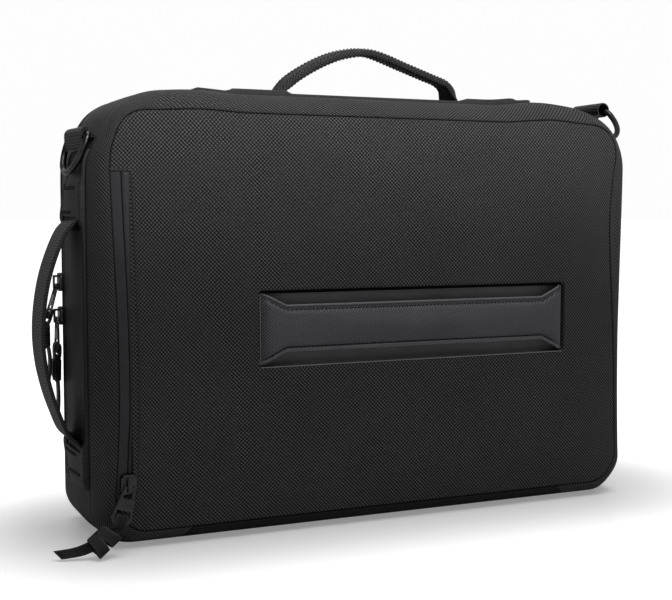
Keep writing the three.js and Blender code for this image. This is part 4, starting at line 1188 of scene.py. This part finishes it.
def sideFarEdge(z):
    low = (sideTaper["low"][0] - z) / (sideTaper["low"][0] - sideTaper["low"][1])
    high = (z - sideTaper["high"][0]) / (sideTaper["high"][1] - sideTaper["high"][0])
    share = min(1, max(0, low, high))
    return sideTaper["full"] + (sideTaper["narrow"] - sideTaper["full"]) * share


makePatch("side_patch_cover", "side_patch", bag["boot"] + gap, sidePatchTop, sideHandle["slits"],
          sideHandle["tail"], sideHandle["wide"] / 2 + patch["clear"], sideAt, sideFarEdge,
          [(57.5, -8, 20), (45.0, -17, 8), (223.5, -4, 24), (240.0, -14, 11)])
makePatch("top_patch_cover", "top_patch", -135, 135, topHandle["slits"], topHandle["tail"],
          topHandle["foot"] / 2 + patch["clear"], topAt, lambda x: 29.0,
          [(-76, -13, 13), (-99, -13, 13), (87, -13, 13), (110, -13, 13)])
print("patches made")

# Handles: the way each takes, as shares of its span and of its reach
sideWay = [(0.02, 0.12), (0.06, 0.36), (0.145, 0.58), (0.245, 0.78), (0.355, 0.93), (0.48, 1),
           (0.61, 0.96), (0.755, 0.8), (0.88, 0.54), (0.95, 0.33), (0.985, 0.14)]
topWay = [(0.02, 0.13), (0.09, 0.4), (0.2, 0.68), (0.31, 0.88), (0.4, 0.97), (0.47, 1), (0.54, 0.96),
          (0.7, 0.76), (0.85, 0.57), (0.93, 0.46), (0.965, 0.33), (0.98, 0.14)]


def handleLine(way, handle, steps):
    low, high = handle["slits"]
    flat = gap + patch["tail"] / 2
    tail = handle["shownTail"]
    knots = [(low - tail, flat), (low - tail / 2, flat), (low - 3, flat), (low - 0.4, flat)]
    knots += [(low + a * (high - low), u * handle["reach"]) for a, u in way]
    knots += [(high + 0.4, flat), (high + 3, flat), (high + tail / 2, flat), (high + tail, flat)]
    return curveThrough([(a, b, 0) for a, b in knots], steps)


def makeSideHandle():
    line = handleLine(sideWay, sideHandle, 7)
    points = [(-bag["half"] - p.y, 0, p.x) for p in line]
    grown = [float(smooth((p.y - 1) / 5)) for p in line]
    thick = lambda i: patch["tail"] + (sideHandle["thick"] - patch["tail"]) * grown[i]
    section = lambda i: stripSection(thick(i), sideHandle["wide"], 20)
    piece = sweep("side_handle_webbing", points, lambda i: (0, 1, 0), section)
    dress(piece, "webbing", "side_handle")


def makeTopHandle():
    line = handleLine(topWay, topHandle, 8)
    lean = topHandle["lean"]
    points = [(p.x, -lean * max(0, p.y - patch["tail"]), bag["height"] + p.y) for p in line]
    grown = [float(smooth((p.y - 1.5) / 12)) for p in line]
    thick = lambda i: patch["tail"] + (topHandle["thick"] - patch["tail"]) * grown[i]
    wide = lambda i: topHandle["foot"] + (topHandle["wide"] - topHandle["foot"]) * grown[i]

    # A folded band: its edges are full and its middle a little sunk
    def section(i):
        t, w = thick(i) / 2, wide(i) / 2
        full = []
        for k in range(28):
            a = 2 * math.pi * k / 28
            c, s = math.cos(a), math.sin(a)
            across = w * math.copysign(abs(c) ** topHandle["squareWide"], c)
            sunk = 1 - topHandle["sunk"] * grown[i] * (1 - min(1, abs(across) / w) ** 2)
            full.append((t * math.copysign(abs(s) ** topHandle["squareThick"], s) * sunk, across))
        return full

    ways = [Vector((0, 1, 0)).lerp(Vector((0, 1, lean)), g) for g in grown]
    piece = sweep("top_handle_grip", points, lambda i: ways[i], section)
    dress(piece, "weave", "top_handle")
    shown = [i for i in range(len(points)) if grown[i] > 0.3]
    for side, label in ((1, "front"), (-1, "back")):
        for face, word in ((1, "under"), (-1, "over")):
            row = []
            for i in shown:
                p = Vector(points[i])
                before, after = Vector(points[i - 1]), Vector(points[min(i + 1, len(points) - 1)])
                out = (after - before).cross(ways[i].normalized()).normalized()
                inset = wide(i) / 2 - topHandle["stitchAt"]
                row.append((p + ways[i].normalized() * side * inset
                            + out * face * (thick(i) / 2 - 0.1), out * face))
            sew(f"top_handle_stitches_{label}_{word}", "weave", [r[0] for r in row],
                lambda k: row[k][1], 3.0, 2.0)


makeSideHandle()
makeTopHandle()
print("handles made")

# Strap rings and the webbing tabs that hold them
ring = {
    "wire": 4.0, "shownWire": 4.4, "inside": 39.0, "drop": 27.0, "bend": 3.0,
    "tab": 38.0, "tabShown": 36.4, "tabCloth": 1.2, "clear": 0.3,
}
ringSeats = {
    "left_ring": {"pivot": (-210.78, -4.0, 275.87), "turn": 5.0, "side": -1, "tilt": 19.0},
    "right_ring": {"pivot": (210.98, -2.0, 304.0), "turn": 0.0, "side": 1, "tilt": 45.0},
}


def ringAxis(turn):
    a = math.radians(turn)
    return Vector((-math.sin(a), math.cos(a), 0))


def makeRing(name, seat):
    half = (ring["inside"] + ring["wire"]) / 2
    axis = ringAxis(seat["turn"])
    out = Vector((axis.y, -axis.x, 0)) * seat["side"]
    a = math.radians(seat["tilt"])
    drop = Vector((0, 0, -math.cos(a))) + out * math.sin(a)
    bend = ring["bend"]

    def arc(across, down, radius, start, end, steps):
        return [(across + radius * math.cos(t), down + radius * math.sin(t))
                for t in np.linspace(start, end, steps)]

    path = [(0, 0)] + arc(half - bend, bend, bend, -math.pi / 2, 0, 8)
    path += arc(0, ring["drop"] - half, half, 0, math.pi, 48)
    path += arc(bend - half, bend, bend, math.pi, 1.5 * math.pi, 8)
    path = [p for k, p in enumerate(path) if k == 0 or math.dist(p, path[k - 1]) > 0.05]
    points = [Vector(seat["pivot"]) + axis * w + drop * d for w, d in path]
    across = axis.cross(drop)
    section = roundSection(ring["shownWire"] / 2, 18)
    piece = sweep(name + "_wire", points, lambda i: across, lambda i: section, closed=True)
    dress(piece, "metal", name, body=name)


for name, seat in ringSeats.items():
    makeRing(name, seat)


# A tab: webbing from its root round the ring's bar and back
def makeTab(name, middle, turn, root, inside):
    axis = ringAxis(turn)
    middle, root = Vector(middle), Vector(root)
    towards = root - middle
    long = towards.length
    towards.normalize()
    side = axis.cross(towards)
    r = inside + ring["tabCloth"] / 2
    off = ring["tabCloth"] / 2 + 0.1
    start = math.asin(min(1, off / r))
    path = [(long, off), ((long + r) / 2, off)]
    path += [(r * math.cos(t), r * math.sin(t)) for t in np.linspace(start, 2 * math.pi - start, 40)]
    path += [((long + r) / 2, -off), (long, -off)]
    points = [middle + towards * a + side * b for a, b in path]
    section = stripSection(ring["tabCloth"], ring["tabShown"], 24)
    dress(sweep(name + "_webbing", points, lambda i: axis, lambda i: section), "webbing", name)
    for face, label in ((1, "a"), (-1, "b")):
        base = middle + towards * (r + 2.5) + side * face * (off + ring["tabCloth"] / 2)
        line = [base + axis * w for w in np.linspace(-ring["tab"] / 2 + 3, ring["tab"] / 2 - 3, 20)]
        sew(f"{name}_stitches_{label}", "webbing", line, lambda k: side * face, 2.6, 1.9)


def cornerPoint(side, angle, off, y):
    a = math.radians(angle)
    r = bag["topCorner"] + off
    x = side * (bag["half"] - bag["topCorner"] + r * math.cos(a))
    return soften([(x, y, bag["height"] - bag["topCorner"] + r * math.sin(a))])[0]


tabInside = ring["wire"] / 2 + ring["clear"]
leftSeat, rightSeat = ringSeats["left_ring"], ringSeats["right_ring"]
makeTab("left_ring_tab", leftSeat["pivot"], leftSeat["turn"],
        cornerPoint(-1, 26, -1.6, -4.0), tabInside)
# The left tab's outer end hangs down between the ring's arms
flap = {"drop": 10.5, "thick": 1.3, "curl": 0.9, "clear": 0.1}
flapAxis = ringAxis(leftSeat["turn"])
flapOut = Vector((-flapAxis.y, flapAxis.x, 0))
flapMiddle = Vector(leftSeat["pivot"])
flapRadius = tabInside + ring["tabCloth"] + flap["thick"] / 2 + flap["clear"]
flapLine = [flapMiddle + flapOut * flapRadius * math.sin(t) + Vector((0, 0, flapRadius * math.cos(t)))
            for t in np.linspace(-0.3, math.pi / 2, 12)]
flapLine += [flapMiddle + flapOut * (flapRadius - flap["curl"] * k * k) - Vector((0, 0, flap["drop"] * k))
             for k in np.linspace(0, 1, 12)[1:]]
flapStrip = stripSection(flap["thick"], ring["tab"] - 1, 24)
trim("left_ring_tab_flap", flapLine, flapAxis, flapStrip, "webbing")
# The right tab's loop is wider than the ring's bar, which lies in the loop's outer end
wideLoop = 4.6
loopMiddle = Vector(rightSeat["pivot"]) - Vector((0.7, 0, -0.7)) * (wideLoop - tabInside)
makeTab("right_ring_tab", loopMiddle, rightSeat["turn"],
        cornerPoint(1, 48, -1.6, -2.0), wideLoop)
print("rings made")


# Zip hardware: the solids' shapes with every edge rounded over
def roundedCopy(node, name, width, segments, finish, body="bag"):
    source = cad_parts[node]
    piece = bpy.data.objects.new(name, source.data.copy())
    bpy.context.scene.collection.objects.link(piece)
    weld = piece.modifiers.new("Weld", "WELD")
    weld.merge_threshold = 0.00001
    flatten = piece.modifiers.new("Flat", "DECIMATE")
    flatten.decimate_type = "DISSOLVE"
    flatten.angle_limit = math.radians(2)
    bevel = piece.modifiers.new("Edges", "BEVEL")
    bevel.width = width * mm
    bevel.segments = segments
    bevel.limit_method = "ANGLE"
    bevel.angle_limit = math.radians(32)
    applied(piece)
    piece.data.shade_smooth()
    piece.data.set_sharp_from_angle(angle=math.radians(38))
    return dress(piece, finish, node, body=body)


for zipName in ("upper_zip", "lower_zip", "pocket_zip"):
    roundedCopy(f"{zipName}_slider", f"{zipName}_slider_body", 0.55, 3, "metal")
    roundedCopy(f"{zipName}_puller", f"{zipName}_puller_plate", 0.35, 2, "metal")

# Leather pulls: a loop through the puller's slot, a knot, and a tail that hangs or lies
pulls = {
    "upper_zip": {"height": 174.0, "main": True, "lean": -4, "swing": 17, "below": 7, "loopFoot": -2,
                  "knot": (0, 0, -8), "tail": (1, -1, -34), "bend": (2, 0, 0),
                  "flat": (0, 1, 0), "lying": (0, 1, 0)},
    "lower_zip": {"height": 150.0, "main": True, "lean": 5, "swing": 0, "below": 7, "loopFoot": -2,
                  "knot": (0, 1, -8), "tail": (0, 2, -40), "bend": (1, 0, 0),
                  "flat": (0, 1, 0), "lying": (0, 1, 0)},
    "pocket_zip": {"height": 44.5, "main": False, "lean": 18, "swing": 6, "below": 2.5, "loopFoot": 3,
                   "knot": (-12.5, -4, -8.5), "tail": (-28, 6, -16), "bend": (0, 0, -2),
                   "flat": (0.55, -0.55, -0.6), "lying": (0.55, -0.6, -0.58)},
}
pullSizes = {
    "y": -6.5, "bar": -3.0, "long": 26.0, "thick": 1.6, "slotFoot": -21.5, "strip": 1.3, "wide": 8.0,
    "tail": 1.8, "knotWide": 15.5, "knotThick": 5.0, "wrap": (1.2, 8.6), "over": 1.3, "lowest": 3.5,
    "wraps": ((4.3, 0.16), (-3.9, -0.2)),
}


def makePull(name, pull):
    sizes = pullSizes
    seat = Vector((-bag["half"] + 1, zipHalf, pull["height"])) if pull["main"] else Vector(
        soften([(zipMiddle, bag["backY"] + 2 * gap, pull["height"])])[0])
    place = Matrix.Translation(seat) @ Matrix.Rotation(-math.pi / 2 if pull["main"] else 0, 4, "Z")
    eye = Vector((0, sizes["y"], sizes["bar"] + 1))
    turn = Matrix.Rotation(math.radians(-pull["swing"]), 4, "X")
    turn = turn @ Matrix.Rotation(math.radians(pull["lean"]), 4, "Y")
    hung = place @ Matrix.Translation(eye) @ turn @ Matrix.Translation(-eye)
    foot = sizes["bar"] + 2 - sizes["long"]
    below = pull["below"]
    reach = sizes["thick"] / 2 + gap + sizes["strip"] / 2
    low = sizes["slotFoot"]
    knots = [(0.2, foot - below), (-reach, foot - below * 0.3), (-reach - 0.3, foot + 2),
             (-reach, low + 0.2), (-reach * 0.5, low + 1.4), (reach * 0.5, low + 1.4),
             (reach, low + 0.2), (reach + 0.3, foot + 2), (reach, foot - below * 0.3),
             (-0.2, foot - below)]
    line = [hung @ p for p in curveThrough([(0, sizes["y"] + y, z) for y, z in knots], 4)]
    wide = hung.to_3x3() @ Vector((1, 0, 0))
    loopStrip = stripSection(sizes["strip"], sizes["wide"], 4)
    parts = [sweep(name + "_loop", line, lambda i: wide, lambda i: loopStrip)]
    loopFoot = hung @ Vector((0, sizes["y"], sizes["bar"] - sizes["long"] + pull["loopFoot"]))
    middle = loopFoot + Vector(pull["knot"])
    tip = middle + Vector(pull["tail"])
    tip.z = max(tip.z, sizes["tail"] / 2 + gap if pull["main"] else sizes["lowest"])
    up = (loopFoot - middle).normalized()
    flat = Vector(pull["flat"]).normalized()
    lying = Vector(pull["lying"]).normalized()
    broad = (flat - up * flat.dot(up)).normalized()
    face = up.cross(broad)
    w, t = sizes["knotWide"] / 2, sizes["knotThick"] / 2
    # Two slanting wraps and the strip that passes over them
    wrapStrip = stripSection(*sizes["wrap"], 4)
    for k, (shift, slant) in enumerate(sizes["wraps"]):
        loop = []
        for a in np.linspace(0, 2 * math.pi, 37)[:-1]:
            c, s = math.cos(a), math.sin(a)
            x = (w - 0.6) * math.copysign(abs(c) ** 0.7, c)
            proud = (t - 0.6) * math.copysign(abs(s) ** 0.8, s)
            loop.append(middle + broad * x + face * proud + up * (shift + slant * x))
        parts.append(sweep(f"{name}_wrap_{k}", loop, lambda i: up, lambda i: wrapStrip, closed=True))
    heights = ((10.5, 0.2), (6, t + 0.2), (0, t + 0.5), (-5, t + 0.1), (-9, 0.4))
    over = curveThrough([middle + up * rise + face * out for rise, out in heights], 6)
    overStrip = stripSection(sizes["over"], sizes["wide"] * 0.8, 4)
    parts.append(sweep(name + "_over", over, lambda i: broad, lambda i: overStrip))
    bend = middle.lerp(tip, 0.5) + Vector(pull["bend"])
    tailLine = curveThrough([middle, bend, tip], 12)
    turned = lambda i: flat.lerp(lying, (i / (len(tailLine) - 1)) ** 1.5)
    tailStrip = stripSection(sizes["tail"], sizes["wide"], 6)
    parts.append(sweep(name + "_tail", tailLine, turned, lambda i: tailStrip))
    dress(parts[0], "leather", f"{name}_pull")
    for part in parts[1:]:
        dress(part, "leather")
    end = len(tailLine) - 3
    way = (tailLine[end + 1] - tailLine[end]).normalized()
    out = way.cross(flat).normalized()
    if out.z < -0.1:
        out = -out
    marks = [tailLine[end] + flat * s + out * (sizes["tail"] / 2 + 0.05) for s in (-2.4, 0, 2.4)]
    sew(name + "_tack", "leather", marks, lambda k: out, 1.6, 1.6, 0.6, 0.3, across=True)


for pullName, pull in pulls.items():
    makePull(pullName, pull)
print("zip pulls made")

# Plain pale floor that glows, less near the bag for a painted shadow under it, a dim room, and soft lamps
# above, at the right and behind
stage = {
    "reach": 40.0, "low": -0.0004, "even": 1.0, "evenSpread": 50, "bounce": 0.65, "mirror": 0.12,
    # The glow runs from its low value near the bag to its high value away from it: the low glow is a
    # painted shadow
    "mirrorRough": 0.12, "pale": 0.93, "shadowAndGlow": (0.3, 1.0), "paintedShadowReach": (0.05, 0.2), "bagHalf": 0.18,
    "room": 0.045, "backdrop": 0.985, "wall": 0.4, "wallTop": 0.35,
}
floorMesh = bpy.data.meshes.new("floor")
floorRing = [(stage["reach"] * math.cos(a), stage["reach"] * math.sin(a), stage["low"])
             for a in np.linspace(0, 2 * math.pi, 65)[:-1]]
floorMesh.from_pydata(floorRing, [], [tuple(range(64))])
floor = bpy.data.objects.new("floor", floorMesh)
bpy.context.scene.collection.objects.link(floor)
floorMaterial = bpy.data.materials.new("paleFloor")
floorMaterial.use_nodes = True
floorShader = floorMaterial.node_tree.nodes["Principled BSDF"]
floorShader.inputs["Base Color"].default_value = (*[stage["pale"]] * 3, 1)
floorShader.inputs["Roughness"].default_value = 0.9
floorShader.inputs["Specular IOR Level"].default_value = 0.0
floorShader.inputs["Emission Color"].default_value = (1, 1, 1, 1)
floorTree = floorMaterial.node_tree
# The floor glows more away from the bag; the dimmer glow near it is a painted shadow under the bag
floorSpot = floorTree.nodes.new("ShaderNodeNewGeometry")
floorApart = floorTree.nodes.new("ShaderNodeSeparateXYZ")
floorTree.links.new(floorSpot.outputs["Position"], floorApart.inputs[0])
floorX = calc(floorTree, "ABSOLUTE", floorApart.outputs[0])
floorX = calc(floorTree, "MAXIMUM", calc(floorTree, "SUBTRACT", floorX, stage["bagHalf"]), 0.0)
floorSquares = (calc(floorTree, "POWER", floorX, 2.0),
                calc(floorTree, "MULTIPLY", floorApart.outputs[1], floorApart.outputs[1]))
floorAway = calc(floorTree, "SQRT", calc(floorTree, "ADD", *floorSquares))
floorGlowWithShadow = floorTree.nodes.new("ShaderNodeMapRange")
floorGlowWithShadow.interpolation_type = "SMOOTHSTEP"
shadowAndGlowRange = (*stage["paintedShadowReach"], *stage["shadowAndGlow"])
for label, value in zip(("From Min", "From Max", "To Min", "To Max"), shadowAndGlowRange):
    floorGlowWithShadow.inputs[label].default_value = value
floorTree.links.new(floorAway, floorGlowWithShadow.inputs["Value"])
floorTree.links.new(floorGlowWithShadow.outputs["Result"], floorShader.inputs["Emission Strength"])
# What the floor throws back onto the bag is dimmer than what the camera sees of it
floorDim = floorTree.nodes.new("ShaderNodeBsdfDiffuse")
floorDim.inputs["Color"].default_value = (*[stage["bounce"]] * 3, 1)
floorRays = floorTree.nodes.new("ShaderNodeLightPath")
floorMix = floorTree.nodes.new("ShaderNodeMixShader")
floorTree.links.new(floorRays.outputs["Is Camera Ray"], floorMix.inputs[0])
floorTree.links.new(floorDim.outputs[0], floorMix.inputs[1])
floorGloss = floorTree.nodes.new("ShaderNodeBsdfGlossy")
floorGloss.inputs["Roughness"].default_value = stage["mirrorRough"]
floorSheen = floorTree.nodes.new("ShaderNodeMixShader")
floorSheen.inputs[0].default_value = stage["mirror"]
floorTree.links.new(floorShader.outputs[0], floorSheen.inputs[1])
floorTree.links.new(floorGloss.outputs[0], floorSheen.inputs[2])
floorTree.links.new(floorSheen.outputs[0], floorMix.inputs[2])
floorTree.links.new(floorMix.outputs[0], floorTree.nodes["Material Output"].inputs["Surface"])
floorMesh.materials.append(floorMaterial)
floor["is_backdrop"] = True

world = bpy.data.worlds.new("paleRoom")
world.use_nodes = True
bpy.context.scene.world = world
room = world.node_tree
roomLight = room.nodes["Background"]
seen = room.nodes.new("ShaderNodeBackground")
seen.inputs["Color"].default_value = (*[stage["backdrop"]] * 3, 1)
seen.inputs["Strength"].default_value = 1.0
roomLight.inputs["Color"].default_value = (1, 1, 1, 1)
roomLight.inputs["Strength"].default_value = stage["room"]
rays = room.nodes.new("ShaderNodeLightPath")
# Reflections see a white wall all round, low down
wall = room.nodes.new("ShaderNodeBackground")
wall.inputs["Strength"].default_value = stage["wall"]
roomWay = room.nodes.new("ShaderNodeTexCoord")
roomApart = room.nodes.new("ShaderNodeSeparateXYZ")
room.links.new(roomWay.outputs["Generated"], roomApart.inputs[0])
lowDown = calc(room, "LESS_THAN", roomApart.outputs[2], stage["wallTop"])
mirrored = room.nodes.new("ShaderNodeMixShader")
room.links.new(calc(room, "MULTIPLY", lowDown, rays.outputs["Is Glossy Ray"]), mirrored.inputs[0])
room.links.new(roomLight.outputs[0], mirrored.inputs[1])
room.links.new(wall.outputs[0], mirrored.inputs[2])
chosen = room.nodes.new("ShaderNodeMixShader")
room.links.new(rays.outputs["Is Camera Ray"], chosen.inputs[0])
room.links.new(mirrored.outputs[0], chosen.inputs[1])
room.links.new(seen.outputs[0], chosen.inputs[2])
room.links.new(chosen.outputs[0], room.nodes["World Output"].inputs["Surface"])

# The top wash is a narrow lamp that reaches only the bag's upper edge
lamps = {
    "overhead": {"place": (0.25, -0.55, 1.3), "aim": (0.05, 0, 0.2), "size": (1.1, 0.8), "power": 3.7},
    "rightSide": {"place": (1.5, -1.2, 0.9), "aim": (0, 0, 0.15), "size": (0.8, 1.0), "power": 1.0},
    "behind": {"place": (0.3, 1.6, 1.3), "aim": (0, 0, 0.2), "size": (1.8, 1.0), "power": 4},
    "topWash": {"place": (0.05, -1.2, 0.7), "aim": (0.02, -0.05, 0.32), "size": (0.75, 0.08),
                "power": 0.19, "spread": 14},
}
for lampName, lamp in lamps.items():
    light = bpy.data.lights.new(lampName, "AREA")
    light.shape = "RECTANGLE"
    light.size, light.size_y = lamp["size"]
    light.energy = lamp["power"]
    light.spread = math.radians(lamp.get("spread", 180))
    holder = bpy.data.objects.new(lampName, light)
    holder.location = lamp["place"]
    aim = Vector(lamp["aim"]) - Vector(lamp["place"])
    holder.rotation_euler = aim.to_track_quat("-Z", "Y").to_euler()
    bpy.context.scene.collection.objects.link(holder)
# An even light straight down keeps the floor pale as far as it reaches
sun = bpy.data.lights.new("evenLight", "SUN")
sun.energy = stage["even"]
sun.angle = math.radians(stage["evenSpread"])
sunHolder = bpy.data.objects.new("evenLight", sun)
bpy.context.scene.collection.objects.link(sunHolder)
bpy.context.scene.view_settings.view_transform = "Standard"
print("stage lit")

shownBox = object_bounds()
plainBox = lambda box: [[round(float(v), 6) for v in corner] for corner in box]
{"cad": plainBox(solidBox), "visual": plainBox(shownBox)}
